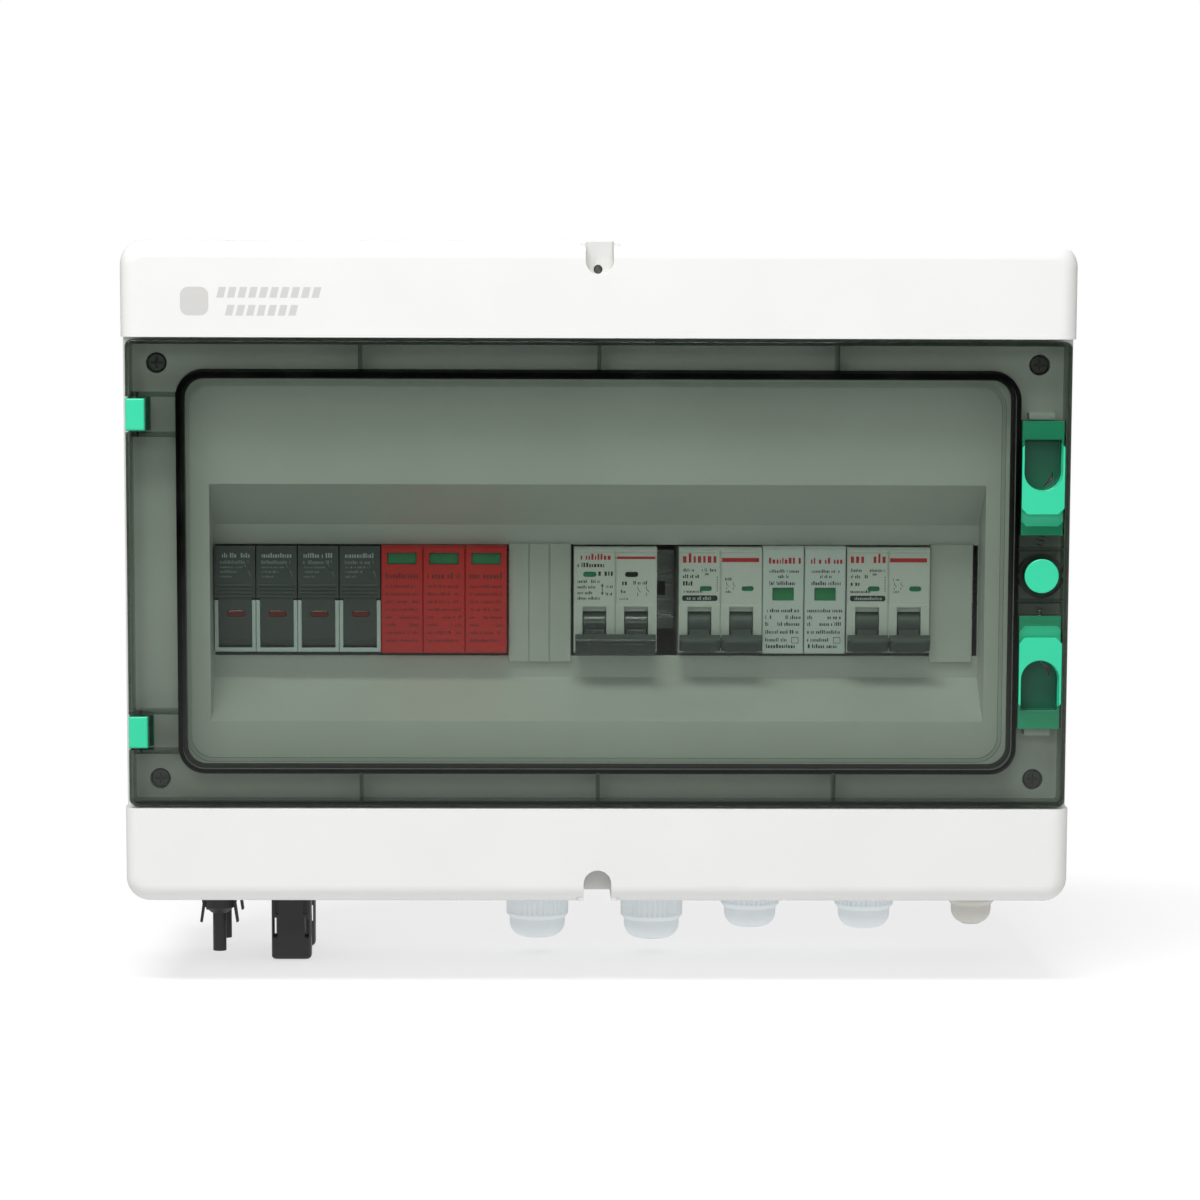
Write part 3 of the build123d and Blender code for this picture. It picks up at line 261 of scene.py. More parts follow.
def fuse_tube(name, low_cap, high_cap):
    """Glazed ceramic between two plated end caps; the caps lie outside the two heights."""
    s = Shader(name)
    normal, _ = s.rounded(0.2 * MM)
    height = s.axis("Z")
    below = s.maths("LESS_THAN", height, low_cap)
    above = s.maths("GREATER_THAN", height, high_cap)
    capped = s.maths("ADD", below, above)
    glaze = s.mix(s.spread(s.noise(300.0, 3.0), 0.3, 0.7), (0.80, 0.77, 0.70), (0.86, 0.84, 0.78))
    plate = s.mix(s.spread(s.noise(500.0, 3.0), 0.4, 0.7), (0.75, 0.74, 0.71), (0.62, 0.60, 0.56))
    skin = s.bump(s.noise(900.0, 2.0), 0.01 * MM, normal)
    surface = s.add("BsdfPrincipled", {"Base Color": s.mix(capped, glaze, plate), "Metallic": capped,
                                       "Roughness": s.spread(s.noise(80.0), 0.3, 0.7, 0.2, 0.35),
                                       "Normal": skin})
    return s.finish(surface.outputs["BSDF"])


def two_tone_flag(name, split):
    """Printed flag: red below the split height and green above it."""
    s = Shader(name)
    upper = s.maths("GREATER_THAN", s.axis("Z"), split)
    patchy = s.spread(s.noise(800.0, 3.0), 0.3, 0.7)
    green = s.mix(patchy, (0.010, 0.33, 0.16), (0.015, 0.42, 0.21))
    red = s.mix(patchy, (0.50, 0.02, 0.015), (0.62, 0.03, 0.02))
    surface = s.add("BsdfPrincipled", {"Base Color": s.mix(upper, red, green), "Roughness": 0.45,
                                       "Normal": s.bump(s.noise(1500.0), 0.01 * MM)})
    return s.finish(surface.outputs["BSDF"])


def insulation(name, colour, stripe=None):
    """PVC wire cover: soft gloss, faint extrusion lines and, if wanted, a second colour on one side."""
    s = Shader(name)
    tone = s.mix(s.spread(s.noise(60.0, 2.0), 0.3, 0.7), shade(colour, 0.9), shade(colour, 1.12))
    if stripe:
        facing = s.add("NewGeometry").outputs["Normal"]
        side = s.add("VectorMath", {0: facing, 1: (0.6, -0.35, 0.72)}, operation="DOT_PRODUCT")
        tone = s.mix(s.spread(side.outputs["Value"], 0.18, 0.24), tone, stripe)
    lines = s.noise(1200.0, 2.0)
    gloss = s.spread(lines, 0.3, 0.7, 0.3, 0.42)
    surface = s.add("BsdfPrincipled", {"Base Color": tone, "Roughness": gloss,
                                       "Normal": s.bump(lines, 0.015 * MM)})
    return s.finish(surface.outputs["BSDF"])


def ink(name, colour):
    """Pad-printed ink, slightly uneven and thinner in places."""
    s = Shader(name)
    thin = s.spread(s.noise(1400.0, 3.0), 0.42, 0.75, 0.0, 0.35)
    tone = s.mix(thin, colour, tuple(c * 0.6 + 0.12 for c in colour))
    gloss = s.spread(thin, 0.0, 0.35, 0.42, 0.6)
    surface = s.add("BsdfPrincipled", {"Base Color": tone, "Roughness": gloss,
                                       "Normal": s.bump(s.noise(2200.0), 0.006 * MM)})
    return s.finish(surface.outputs["BSDF"])


def painted_shade_behind(y, other):
    """Tint that turns the colour into other, softly, deeper into the wall than y; used to paint the
    shade that falls in pockets past the door sheet.
    """
    def tint(s, tone):
        return s.mix(s.spread(s.axis("Y"), y, y + 3 * MM), tone, other)
    return tint


def right_of(x, other):
    """Tint that turns the colour into other for the pieces beyond x."""
    def tint(s, tone):
        return s.mix(s.maths("GREATER_THAN", s.axis("X"), x), tone, other)
    return tint


WHITE = (0.635, 0.635, 0.62)
GLAND_GREY = (0.80, 0.85, 0.87)
GLAND_WARM = (0.62, 0.61, 0.56)

FINISHES = {
    "white_plastic": moulded("white_plastic", WHITE, 0.36, coat=0.05, mottle=0.012, wear=1.06),
    # (0.30, 0.32, 0.30) is painted shade on the door's rims and ribs
    "smoked_clear": smoked_sheet("smoked_clear", (100.0, 82.0, 98.0), (0.86, 0.878, 0.86),
                                 (0.30, 0.32, 0.30)),
    # the green parts turn dark green deeper than the door sheet: painted shade inside the latch pockets
    "green_plastic": moulded("green_plastic", (0.02, 0.50, 0.275), 0.34, mottle=0.05,
                             tint=painted_shade_behind(-136.0 * MM, (0.006, 0.11, 0.06))),
    "black_seal": rubber("black_seal", (0.012, 0.012, 0.012)),
    "light_grey_plastic": moulded("light_grey_plastic", (0.70, 0.70, 0.68), 0.45, grain=0.018),
    "dark_grey_plastic": moulded("dark_grey_plastic", (0.078, 0.088, 0.087), 0.45, grain=0.02,
                                 mottle=0.06, wear=1.6),
    "black_plastic": moulded("black_plastic", (0.028, 0.029, 0.028), 0.40, grain=0.02,
                             mottle=0.10, wear=2.2),
    "red_plastic": moulded("red_plastic", (0.66, 0.024, 0.022), 0.46, mottle=0.05, wear=1.15),
    "gland_plastic": moulded("gland_plastic", GLAND_GREY, 0.42, grain=0.02, mottle=0.04,
                             tint=right_of(145.0 * MM, GLAND_WARM)),
    "bluish_grey_rubber": rubber("bluish_grey_rubber", (0.045, 0.05, 0.055)),
    "blue_plastic": moulded("blue_plastic", (0.03, 0.12, 0.40), 0.42),
    "zinc_steel": metal("zinc_steel", (0.66, 0.67, 0.68), 0.30, (0.05, 1.0, 1.0), (0.95, 0.93, 0.85)),
    "brass": metal("brass", (0.78, 0.58, 0.25), 0.28, (0.05, 1.0, 1.0)),
    "fuse_white": fuse_tube("fuse_white", -20.6 * MM, -2.6 * MM),
    "insulation_red": insulation("insulation_red", (0.50, 0.018, 0.014)),
    "insulation_black": insulation("insulation_black", (0.016, 0.016, 0.017)),
    "insulation_blue": insulation("insulation_blue", (0.015, 0.09, 0.42)),
    "insulation_green": insulation("insulation_green", (0.03, 0.30, 0.06), (0.72, 0.60, 0.03)),
}
BLANK_GREY = moulded("blank_grey", (0.60, 0.605, 0.585), 0.48, grain=0.02)
FUSE_GREY = moulded("fuse_grey", (0.60, 0.66, 0.67), 0.45)
COOL_WHITE = moulded("cool_white", (0.70, 0.73, 0.745), 0.38)
SWITCH_WHITE = moulded("switch_white", (0.71, 0.72, 0.70), 0.40)
HANDLE_SMOKE = moulded("handle_smoke", (0.055, 0.062, 0.064), 0.24, grain=0.008, coat=0.4, wear=1.6)
LENS_RED = moulded("lens_red", (0.17, 0.022, 0.020), 0.16, grain=0.004, coat=0.6)
STATUS_GREEN = moulded("status_green", (0.035, 0.27, 0.11), 0.42)
# the side tints (0.8, 0.85, 0.8) and (0.6, 0.6, 0.6) are painted shade on the lens sides
LENS_CLEAR = smoked_sheet("lens_clear", (60.0, 35.0, 45.0), (0.98, 0.99, 0.98), (0.8, 0.85, 0.8), 0.02)
LENS_DULL = smoked_sheet("lens_dull", (900.0, 1500.0, 1500.0), (0.8, 0.7, 0.66), (0.6, 0.6, 0.6), 0.2)
DARK_STEEL = metal("dark_steel", (0.16, 0.16, 0.16), 0.42)
INK_BLACK = ink("ink_black", (0.022, 0.022, 0.024))
INK_RED = ink("ink_red", (0.62, 0.020, 0.035))
INK_MAROON = ink("ink_maroon", (0.20, 0.010, 0.012))
INK_PALE = ink("ink_pale", (0.50, 0.53, 0.53))
INK_GREY = ink("ink_grey", (0.27, 0.28, 0.29))
INK_SILVER = ink("ink_silver", (0.47, 0.465, 0.45))


def flag_finish(node):
    """The flags of one switch, split half way up."""
    low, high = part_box(node)
    return two_tone_flag(f"{node}_print", (low.z + high.z) / 2)


def dress_frame():
    """Gives every CAD node its material."""
    special = {"blank_strip": BLANK_GREY, "blank_plate": BLANK_GREY, "fuse_bases": FUSE_GREY,
               "isolator_lever": HANDLE_SMOKE, "cover_screws": DARK_STEEL}
    for node in frame["nodes"]:
        if node.startswith("ac_surge"):
            special[node] = COOL_WHITE
        elif node in ("isolator_body", "breaker_1_body", "breaker_2_body"):
            special[node] = SWITCH_WHITE
        elif node.endswith("_flags"):
            special[node] = flag_finish(node)
    special["bar_holders"] = moulded("bar_feet", (0.03, 0.30, 0.08), 0.42,
                                     tint=right_of(30.0 * MM, (0.03, 0.12, 0.40)))
    for part in frame["record"]["subparts"]:
        node = part["node"]
        mesh = frame["nodes"][node].data
        mesh.materials.clear()
        mesh.materials.append(special.get(node) or FINISHES[part["material_slot"]])


# ---------------------------------------------------------------- mesh helpers
def piece(name, mesh_parts, material, body):
    """One riding piece from closed lofts; each part is a list of rings of 3-D points."""
    mesh = bpy.data.meshes.new(name)
    bm = bmesh.new()
    for rings in mesh_parts:
        loft(bm, rings)
    bmesh.ops.recalc_face_normals(bm, faces=bm.faces)
    bm.to_mesh(mesh)
    bm.free()
    mesh.materials.append(material)
    made = bpy.data.objects.new(name, mesh)
    bpy.context.scene.collection.objects.link(made)
    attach(made, body)
    return made


def loft(bm, rings):
    """Skin through rings of equal length, closed by a face at each end."""
    rows = [[bm.verts.new(point) for point in ring] for ring in rings]
    for near, far in zip(rows, rows[1:]):
        count = len(near)
        for i in range(count):
            j = (i + 1) % count
            bm.faces.new((near[i], near[j], far[j], far[i]))
    bm.faces.new(rows[0])
    bm.faces.new(list(reversed(rows[-1])))


def smooth(made):
    """Smooth shading, kept sharp at edges over 40 degrees."""
    made.data.shade_smooth()
    made.data.set_sharp_from_angle(angle=math.radians(40))


def at(outline, y):
    """(x, z) points lifted to the plane y."""
    return [(x, y, z) for x, z in outline]


def oblong(x, z, width, height, corner, inset=0.0, steps=6):
    """(x, z) points of a rounded rectangle about x, z, drawn inset from its full size."""
    half_w, half_h = width / 2 - inset, height / 2 - inset
    radius = max(min(corner - inset, half_w, half_h), 0.01 * MM)
    points = []
    for quarter, (right, up) in enumerate(((1, 1), (-1, 1), (-1, -1), (1, -1))):
        for i in range(steps + 1):
            angle = math.radians(90 * (quarter + i / steps))
            points.append((x + right * (half_w - radius) + radius * math.cos(angle),
                           z + up * (half_h - radius) + radius * math.sin(angle)))
    return points


def crowned(x, z, width, height, corner, back, front, crown, steps=5):
    """Rings of a lens: straight sides from back, then a rounded crown up to front."""
    rings = [at(oblong(x, z, width, height, corner), back)]
    for i in range(steps + 1):
        angle = math.radians(90 * i / steps)
        inset = crown * 1.6 * (1 - math.cos(angle))
        rings.append(at(oblong(x, z, width, height, corner, inset),
                        front + crown * (1 - math.sin(angle))))
    return rings


def block(x0, z0, x1, z1):
    return [(x0, z0), (x1, z0), (x1, z1), (x0, z1)]


def stroke(points, width):
    """Flat quads along a path, each a little longer than its stretch so that they join."""
    quads = []
    for (x0, z0), (x1, z1) in zip(points, points[1:]):
        run = Vector((x1 - x0, z1 - z0))
        if run.length < 1e-9:
            continue
        along = run.normalized() * width * 0.25
        side = Vector((-run.y, run.x)).normalized() * width / 2
        a = Vector((x0, z0)) - along
        b = Vector((x1, z1)) + along
        quads.append([tuple(a - side), tuple(b - side), tuple(b + side), tuple(a + side)])
    return quads


class Label:
    """Printed field on a front face. Places are millimetres right of and below a corner."""

    def __init__(self, left, top, face, seed):
        self.left, self.top, self.face = left, top, face
        self.random = random.Random(seed)
        self.inks = {}

    def add(self, material, outlines):
        self.inks.setdefault(material.name, (material, []))[1].extend(outlines)

    def point(self, right, down):
        return self.left + right * MM, self.top - down * MM

    def bar(self, material, right, down, width, height):
        """Solid bar."""
        x, z = self.point(right, down)
        self.add(material, [block(x, z - height * MM, x + width * MM, z)])

    def tag(self, material, right, down, width, height, corner):
        """Bar with rounded corners."""
        x, z = self.point(right + width / 2, down + height / 2)
        self.add(material, [oblong(x, z, width * MM, height * MM, corner * MM)])

    def lines(self, material, path, width):
        """Line through (right, down) points."""
        self.add(material, stroke([self.point(*p) for p in path], width * MM))

    def greek(self, material, right, down, width, height, weight=0.2):
        """A printed line reduced to words of short upright blocks, so that no letters form."""
        cursor, outlines = right, []
        while cursor < right + width - height * 0.3:
            if self.random.random() < 0.15:
                cursor += height * 0.4
                continue
            tall = height * self.random.choice((0.7, 0.7, 0.7, 1.0))
            wide = height * weight * self.random.uniform(0.8, 2.0)
            x, z = self.point(cursor, down + height)
            outlines.append(block(x, z, x + wide * MM, z + tall * MM))
            cursor += wide + height * 0.22
        self.add(material, outlines)

    def make(self, name, body, slot):
        """One thin raised piece per ink."""
        for material, outlines in self.inks.values():
            parts = []
            for outline in outlines:
                back, front = self.face + INK_SUNK, self.face - INK_THICKNESS
                parts.append([at(outline, back), at(outline, front)])
            piece(f"{name}_{material.name}", parts, material, body)


# ---------------------------------------------------------------- printed fields and lenses
NOSE_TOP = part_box("fuse_carrier_1")[1].z
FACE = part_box("breaker_1_body")[0].y


def carrier_details(number):
    """Pale print, a slanted contact sign and the dull red lamp of one fuse carrier."""
    node = f"fuse_carrier_{number}"
    low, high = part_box(node)
    label = Label(low.x, NOSE_TOP, FACE, seed=number)
    label.greek(INK_PALE, 2.4, 2.7, 12.6, 2.0, weight=0.19)
    label.greek(INK_GREY, 2.2, 5.8, 11.2, 1.6)
    label.greek(INK_GREY, 2.4, 8.3, 9.8, 0.9)
    label.greek(INK_GREY, 2.4, 10.1, 7.2, 1.1)
    label.greek(INK_GREY, 2.4, 12.3, 5.0, 0.9)
    for i in range(5):
        label.lines(INK_GREY, [(13.0 + 0.28 * i, 8.0 + 0.5 * i), (13.4 + 0.3 * i, 9.0 + 0.5 * i)], 0.4)
    label.lines(INK_GREY, [(14.9, 10.8), (15.4, 12.8)], 0.22)
    label.lines(INK_GREY, [(14.2, 5.6), (14.4, 7.2)], 0.22)
    label.make(node, node, "dark_grey_plastic")
    middle = (low.x + high.x) / 2
    lamp = crowned(middle + 0.4 * MM, NOSE_TOP - 28.7 * MM, 7.8 * MM, 2.8 * MM, 1.4 * MM,
                   FACE + 0.58 * MM, FACE - 0.05 * MM, 0.35 * MM)
    piece(f"{node}_lamp", [lamp], LENS_RED, node)


def dc_cartridge_details(number):
    """Maroon print and the green status flag of one red cartridge."""
    node = f"dc_surge_cartridge_{number}"
    low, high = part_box(node)
    label = Label(low.x, high.z, low.y, seed=10 + number)
    label.greek(INK_MAROON, 1.7, 11.5, 14.4, 2.5, weight=0.2)
    widths = ((13.8, 0), (14.2, 0), (4.2, 9.2), (5.2, 8.4), (2.6, 8.2), (4.6, 4.2), (10.4, 2.6),
              (13.6, 0))
    for i, (first, second) in enumerate(widths):
        down = 16.6 + 3.32 * i
        label.greek(INK_MAROON, 1.8, down, first, 1.35)
        if second:
            label.greek(INK_MAROON, 16.1 - second, down, second, 1.35)
    label.make(node, node, "red_plastic")
    middle = (low.x + high.x) / 2
    flag = crowned(middle, high.z - 5.5 * MM, 12.3 * MM, 4.7 * MM, 0.3 * MM,
                   low.y + 1.58 * MM, low.y + 1.2 * MM, 0.15 * MM)
    piece(f"{node}_flag", [flag], STATUS_GREEN, node)


def ac_cartridge_details(number):
    """Red heading, black lines and the green status flag of one white cartridge."""
    node = f"ac_surge_cartridge_{number}"
    low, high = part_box(node)
    label = Label(low.x, high.z, low.y, seed=20 + number)
    label.greek(INK_RED, 2.6, 4.8, 14.2, 2.5, weight=0.24)
    label.greek(INK_BLACK, 2.9, 9.8, 12.8, 1.4)
    label.greek(INK_BLACK, 6.6, 12.1, 5.4, 1.4)
    label.greek(INK_BLACK, 2.9, 14.8, 12.8, 1.7)
    for down, first, second in ((26.6, 15.0, 0), (29.5, 2.8, 6.4), (32.4, 1.8, 9.8), (35.8, 14.8, 0),
                                (39.2, 9.6, 0)):
        label.greek(INK_BLACK, 1.3, down, first, 1.6)
        if second:
            label.greek(INK_BLACK, 16.3 - second, down, second, 1.6)
    label.lines(INK_BLACK, [(12.6, 39.0), (15.4, 39.0), (15.4, 41.4), (12.6, 41.4), (12.6, 39.0)], 0.22)
    label.greek(INK_BLACK, 1.6, 41.9, 12.8, 1.7, weight=0.26)
    label.make(node, node, "light_grey_plastic")
    middle = (low.x + high.x) / 2
    flag = crowned(middle, high.z - 20.4 * MM, 9.0 * MM, 5.4 * MM, 0.3 * MM,
                   low.y + 1.58 * MM, low.y + 1.2 * MM, 0.15 * MM)
    piece(f"{node}_flag", [flag], STATUS_GREEN, node)


def switch_label(name, seed):
    """Empty label on the sunk field of a switch."""
    low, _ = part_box(f"{name}_body")
    return Label(low.x, NOSE_TOP, FACE + LABEL_SINK, seed)


def contact_sign(label, right, down, size):
    """Two poles drawn as small open contacts, side by side."""
    for pole in range(2):
        x = right + pole * size * 1.1
        elbow, tip = down + size * 0.3, down + size * 0.7
        label.lines(INK_BLACK, [(x, down), (x, elbow), (x + size * 0.35, tip)], 0.22)
        label.lines(INK_BLACK, [(x, down + size * 0.8), (x, down + size * 1.2)], 0.22)


def isolator_details():
    """Print of the isolator, its window lenses and the pad on its handle."""
    label = switch_label("isolator", 31)
    label.greek(INK_RED, 0.9, 2.8, 14.6, 2.5, weight=0.26)
    label.bar(INK_RED, 17.5, 3.9, 17.4, 1.1)
    label.greek(INK_BLACK, 1.6, 6.6, 12.0, 1.9, weight=0.26)
    label.greek(INK_BLACK, 10.5, 9.6, 6.8, 2.6, weight=0.24)
    for down, width in ((13.9, 10.0), (16.3, 7.6), (18.8, 6.8), (21.1, 10.0)):
        label.greek(INK_BLACK, 1.6, down, width, 1.35)
    label.lines(INK_BLACK, [(12.2, 16.4), (12.2, 19.8)], 0.3)
    for tip, base in ((15.7, 16.7), (20.4, 19.4)):
        label.lines(INK_BLACK, [(11.8, base), (12.2, tip), (12.6, base)], 0.3)
    label.greek(INK_BLACK, 13.5, 16.2, 3.2, 1.2)
    label.greek(INK_BLACK, 13.2, 19.4, 3.6, 1.2)
    label.greek(INK_BLACK, 19.8, 14.0, 3.4, 2.2)
    label.greek(INK_BLACK, 25.4, 14.4, 6.6, 1.5)
    label.greek(INK_BLACK, 20.2, 18.2, 2.0, 1.4)
    label.greek(INK_BLACK, 19.6, 21.6, 3.8, 0.9)
    contact_sign(label, 27.4, 16.8, 3.4)
    label.make("isolator_print", "enclosure", "light_grey_plastic")
    window_lenses("isolator", 5.5, 2.1)
    handle_pad()


def breaker_details(number):
    """Print of one breaker, its window lenses and the cushions on its handles."""
    name = f"breaker_{number}"
    label = switch_label(name, 40 + number)
    label.greek(INK_RED, 1.6, 2.5, 15.0, 4.0, weight=0.2)
    label.bar(INK_RED, 18.4, 4.4, 15.9, 1.8)
    label.greek(INK_BLACK, 1.7, 8.9, 5.2, 1.4)
    label.greek(INK_BLACK, 9.8, 8.9, 6.6, 1.4)
    label.greek(INK_BLACK, 1.7, 11.6, 7.2, 1.5)
    label.tag(INK_GREY, 11.0, 10.9, 1.8, 1.0, 0.4)
    label.greek(INK_BLACK, 1.7, 14.4, 4.0, 1.9, weight=0.24)
    label.greek(INK_BLACK, 1.6, 18.1, 8.8, 1.3)
    for i in range(6):
        label.bar(INK_BLACK, 16.2, 12.4 + 1.15 * i, 0.35, 0.6)
    label.tag(INK_BLACK, 1.4, 20.5, 15.2, 2.4, 0.9)
    label.greek(INK_BLACK, 19.8, 12.9, 3.2, 1.2)
    contact_sign(label, 20.4, 14.8, 2.6)
    label.greek(INK_BLACK, 20.0, 18.4, 2.6, 1.0)
    label.make(f"{name}_print", "enclosure", "light_grey_plastic")
    tag = Label(label.left, label.top, label.face - INK_THICKNESS, 60 + number)
    tag.greek(INK_PALE, 3.4, 21.0, 11.6, 1.4, weight=0.26)
    tag.make(f"{name}_tag", "enclosure", "light_grey_plastic")
    window_lenses(name, 5.0, 2.0)
    handle_cushions(number)


def window_lenses(name, width, height):
    """Oval lens in front of each of a switch's two flags; width and height are in millimetres."""
    low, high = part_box(f"{name}_flags")
    middle = (low.x + high.x) / 2
    pole_gap = (high.x - low.x) / 2 - 3.5 * MM
    window_top = high.z - 1.1 * MM
    centre_z = window_top - height * MM / 2
    for side, place in ((-1, "left"), (1, "right")):
        rings = crowned(middle + side * pole_gap, centre_z, width * MM, height * MM, height * MM / 2,
                        FACE + 0.9 * MM, FACE + 0.35 * MM, 0.2 * MM)
        dull = name == "isolator" and place == "right"
        lens = LENS_DULL if dull else LENS_CLEAR
        piece(f"{name}_{place}_lens", [rings], lens, "enclosure")


def on_lever(node, outline, forward):
    """(x, rise) points carried onto a resting lever, at a distance forward of its axis."""
    _, axis_y, axis_z = JOINTS[f"{node}_turn"]["pos_m"]
    c, s = math.cos(LEVER_DROOP), math.sin(LEVER_DROOP)
    return [(x, axis_y - forward * c - rise * s, axis_z - forward * s + rise * c)
            for x, rise in outline]


def handle_pad():
    """Raised trapezoid with a bevelled edge on the front of the isolator's wide handle."""
    node = "isolator_lever"
    low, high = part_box(node)
    middle = (low.x + high.x) / 2
    half_top, half_bottom, above, below = 12.2, 9.6, 2.6, 1.8
    root, shoulder, face, bevel = 15.9, 16.25, 16.45, 0.25
    rings = []
    for forward, inset in ((root, 0.0), (shoulder, 0.0), (face, bevel)):
        top, bottom = (half_top - inset) * MM, (half_bottom - inset) * MM
        upper, lower = (above - inset) * MM, (inset - below) * MM
        outline = ((middle - top, upper), (middle + top, upper), (middle + bottom, lower),
                   (middle - bottom, lower))
        rings.append(on_lever(node, outline, forward * MM))
    piece("isolator_handle_pad", [rings], HANDLE_SMOKE, node)


def handle_cushions(number):
    """Crowned cushion on the front of each handle of a breaker."""
    node = f"breaker_{number}_lever"
    low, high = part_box(node)
    middle = (low.x + high.x) / 2
    width, height, corner = 16.6 * MM, 6.2 * MM, 2.4 * MM
    root, shoulder = 14.0 * MM, 14.6 * MM
    crown, roll, steps = 0.9 * MM, 1.5 * MM, 5
    for side, place in ((-1, "left"), (1, "right")):
        x = middle + side * POLE_PITCH / 2
        rings = [on_lever(node, oblong(x, 0.0, width, height, corner), root)]
        for i in range(steps + 1):
            angle = math.radians(90 * i / steps)
            outline = oblong(x, 0.0, width, height, corner, roll * (1 - math.cos(angle)))
            rings.append(on_lever(node, outline, shoulder + crown * math.sin(angle)))
        made = piece(f"{node}_{place}_cushion", [rings], FINISHES["dark_grey_plastic"], node)
        smooth(made)


def top_mark():
    """Plain silver mark on the upper panel: a rounded block and two rows of slanted bars."""
    low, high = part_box("front_cover")
    label = Label(low.x, high.z, low.y, seed=70)
    label.tag(INK_SILVER, 25.4, 19.2, 11.8, 11.8, 3.4)
    for down, start, length in ((19.2, 40.5, 44.0), (26.6, 44.0, 33.0)):
        for i in range(int(length / 4.4)):
            right = start + 4.4 * i
            foot = down + 4.4
            corners = ((right, foot), (right + 3.0, foot), (right + 4.1, down), (right + 1.1, down))
            label.add(INK_SILVER, [[label.point(*corner) for corner in corners]])
    label.make("upper_panel_mark", "enclosure", "white_plastic")


def spring_piece(side):
    """Coil spring of one latch, drawn in place of the CAD spring."""
    node = f"{side}_latch_spring"
    low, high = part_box(node)
    centre_x, centre_y = (low.x + high.x) / 2, (low.y + high.y) / 2
    wire_r = 0.25 * MM
    coil_r = (high.x - low.x) / 2 - wire_r
    bottom, top = low.z + wire_r, high.z - wire_r
    turns, steps, sides = 7.2, 24, 8
    rings = []
    for i in range(int(turns * steps) + 1):
        share = i / (turns * steps)
        angle = 2 * math.pi * turns * share
        out = Vector((math.cos(angle), math.sin(angle), 0.0))
        centre = Vector((centre_x, centre_y, bottom + (top - bottom) * share)) + out * coil_r
        ring = []
        for k in range(sides):
            turn = 2 * math.pi * k / sides
            rise = Vector((0, 0, wire_r * math.sin(turn)))
            ring.append(centre + out * wire_r * math.cos(turn) + rise)
        rings.append(ring)
    made = piece(f"{side}_latch_coil", [rings], FINISHES["zinc_steel"], "door")
    smooth(made)
    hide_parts(node)
    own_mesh(made)


# ---------------------------------------------------------------- studio
def floor():
    """Pale floor that glows, painted light from below on the box; it fades into the backdrop with
    distance and stays dim in reflections.
    """
    s = Shader("studio_floor")
    flat = s.add("VectorMath", {0: s.place, 1: (1.0, 1.0, 0.0)}, operation="MULTIPLY")
    distance = s.add("VectorMath", {0: flat.outputs[0]}, operation="LENGTH").outputs["Value"]
    far = s.spread(distance, FADE_NEAR, FADE_FAR, 0.62, 1.0)
    grain = s.mix(s.noise(30.0, 3.0), shade(BACKDROP, 0.86), shade(BACKDROP, 0.88))
    near = s.add("BsdfDiffuse", {"Color": grain})
    rays = s.add("LightPath")
    # the glow is brighter for rays that are not camera rays: painted light from below on the box
    glow = s.mix(rays.outputs["Is Camera Ray"], (1.15, 1.16, 1.17), BACKDROP)
    floor_glow = s.add("Emission", {"Color": glow})
    blended = s.add("MixShader", {0: far, 1: near.outputs[0], 2: floor_glow.outputs[0]})
    mirrored = s.spread(distance, MIRRORED_NEAR, MIRRORED_FAR, 0.50, 0.02)
    dim = s.add("Emission", {"Color": (1.0, 1.0, 1.0), "Strength": mirrored})
    seen = s.add("MixShader", {0: rays.outputs["Is Glossy Ray"], 1: blended.outputs[0],
                               2: dim.outputs[0]})
    material = s.finish(seen.outputs[0])
    mesh = bpy.data.meshes.new("floor")
    bm = bmesh.new()
    bmesh.ops.create_circle(bm, cap_ends=True, segments=96, radius=FLOOR_RADIUS)
    bm.to_mesh(mesh)
    bm.free()
    mesh.materials.append(material)
    made = bpy.data.objects.new("floor", mesh)
    made.location.z = FLOOR_Z
    bpy.context.scene.collection.objects.link(made)


class Sky(Shader):
    """Shader for the world: the same helpers on the world's own node tree."""

    def __init__(self, name):
        self.world = bpy.data.worlds.new(name)
        self.world.use_nodes = True
        self.tree = self.world.node_tree
        self.tree.nodes.clear()
        self.place = self.add("TexCoord").outputs["Generated"]


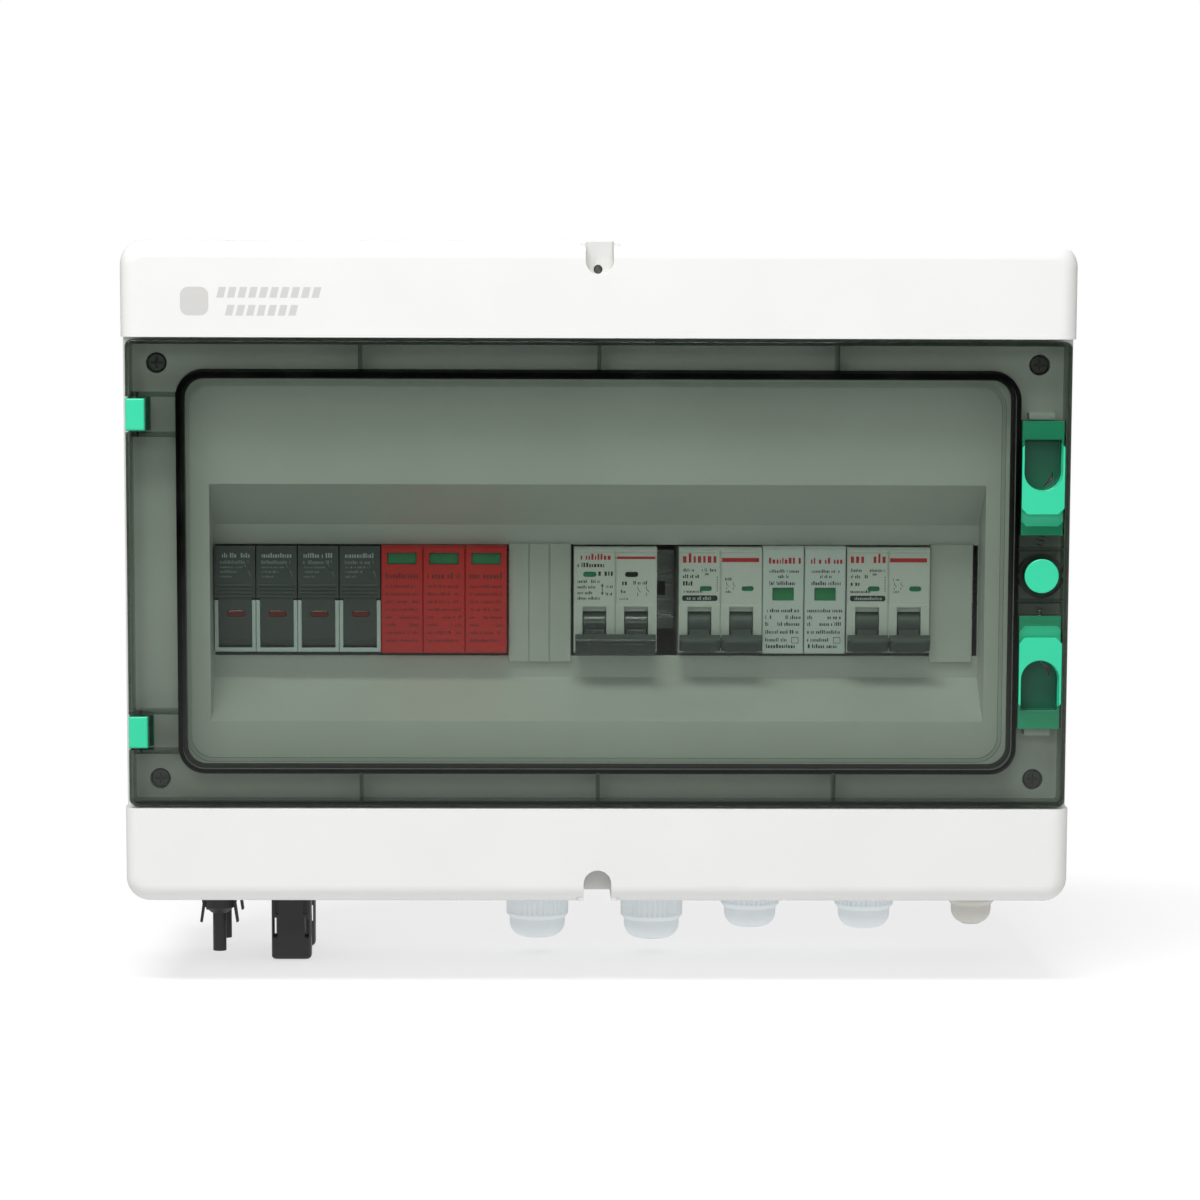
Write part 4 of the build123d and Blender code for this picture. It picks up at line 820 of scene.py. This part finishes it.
def world():
    """White for the camera, soft light from above, and for gloss a room brighter near its top.

    Heights are the direction's Z, from -1 straight down to 1 straight up.
    """
    s = Sky("studio")
    height = s.axis("Z")
    soft_strength = s.spread(height, -0.2, 0.9, 0.22, 0.60)
    gloss_strength = s.spread(height, 0.15, 0.75, 0.10, 1.0)
    soft = s.add("Background", {"Strength": soft_strength})
    gloss = s.add("Background", {"Strength": gloss_strength})
    plain = s.add("Background", {"Color": BACKDROP})
    rays = s.add("LightPath")
    lit = s.add("MixShader", {0: rays.outputs["Is Glossy Ray"], 1: soft.outputs[0],
                              2: gloss.outputs[0]})
    seen = s.add("MixShader", {0: rays.outputs["Is Camera Ray"], 1: lit.outputs[0],
                               2: plain.outputs[0]})
    s.add("OutputWorld", {"Surface": seen.outputs[0]})
    bpy.context.scene.world = s.world


def softbox(name, place, size, power, aim=(0.0, -0.07, -0.01)):
    """Area light at place, facing aim."""
    data = bpy.data.lights.new(name, "AREA")
    data.shape = "RECTANGLE"
    data.size, data.size_y = size
    data.energy = power
    made = bpy.data.objects.new(name, data)
    made.location = place
    made.rotation_euler = (Vector(aim) - Vector(place)).to_track_quat("-Z", "Y").to_euler()
    bpy.context.scene.collection.objects.link(made)


def lights():
    softbox("key", (-0.35, -1.05, 1.78), (1.5, 0.5), 48.0)
    softbox("front", (-0.5, -2.5, 1.05), (1.6, 0.7), 15.0)
    softbox("back", (0.6, 1.6, 1.2), (1.4, 1.0), 14.0)


def camera():
    data = bpy.data.cameras.new("camera")
    data.sensor_width = 36.0
    data.lens = CAMERA_LENS
    data.shift_x, data.shift_y = CAMERA_SHIFT
    made = bpy.data.objects.new("camera", data)
    made.location = CAMERA_PLACE
    made.rotation_euler = [math.radians(a) for a in CAMERA_TILT]
    bpy.context.scene.collection.objects.link(made)
    bpy.context.scene.camera = made


# ---------------------------------------------------------------- build
dress_frame()
for index in range(1, 5):
    carrier_details(index)
for index in range(1, 4):
    dc_cartridge_details(index)
for index in range(1, 3):
    ac_cartridge_details(index)
    breaker_details(index)
isolator_details()
top_mark()
for side in ("upper", "lower"):
    spring_piece(side)
floor()
world()
lights()
camera()
bpy.context.scene.view_settings.view_transform = "Standard"

bpy.context.view_layer.update()
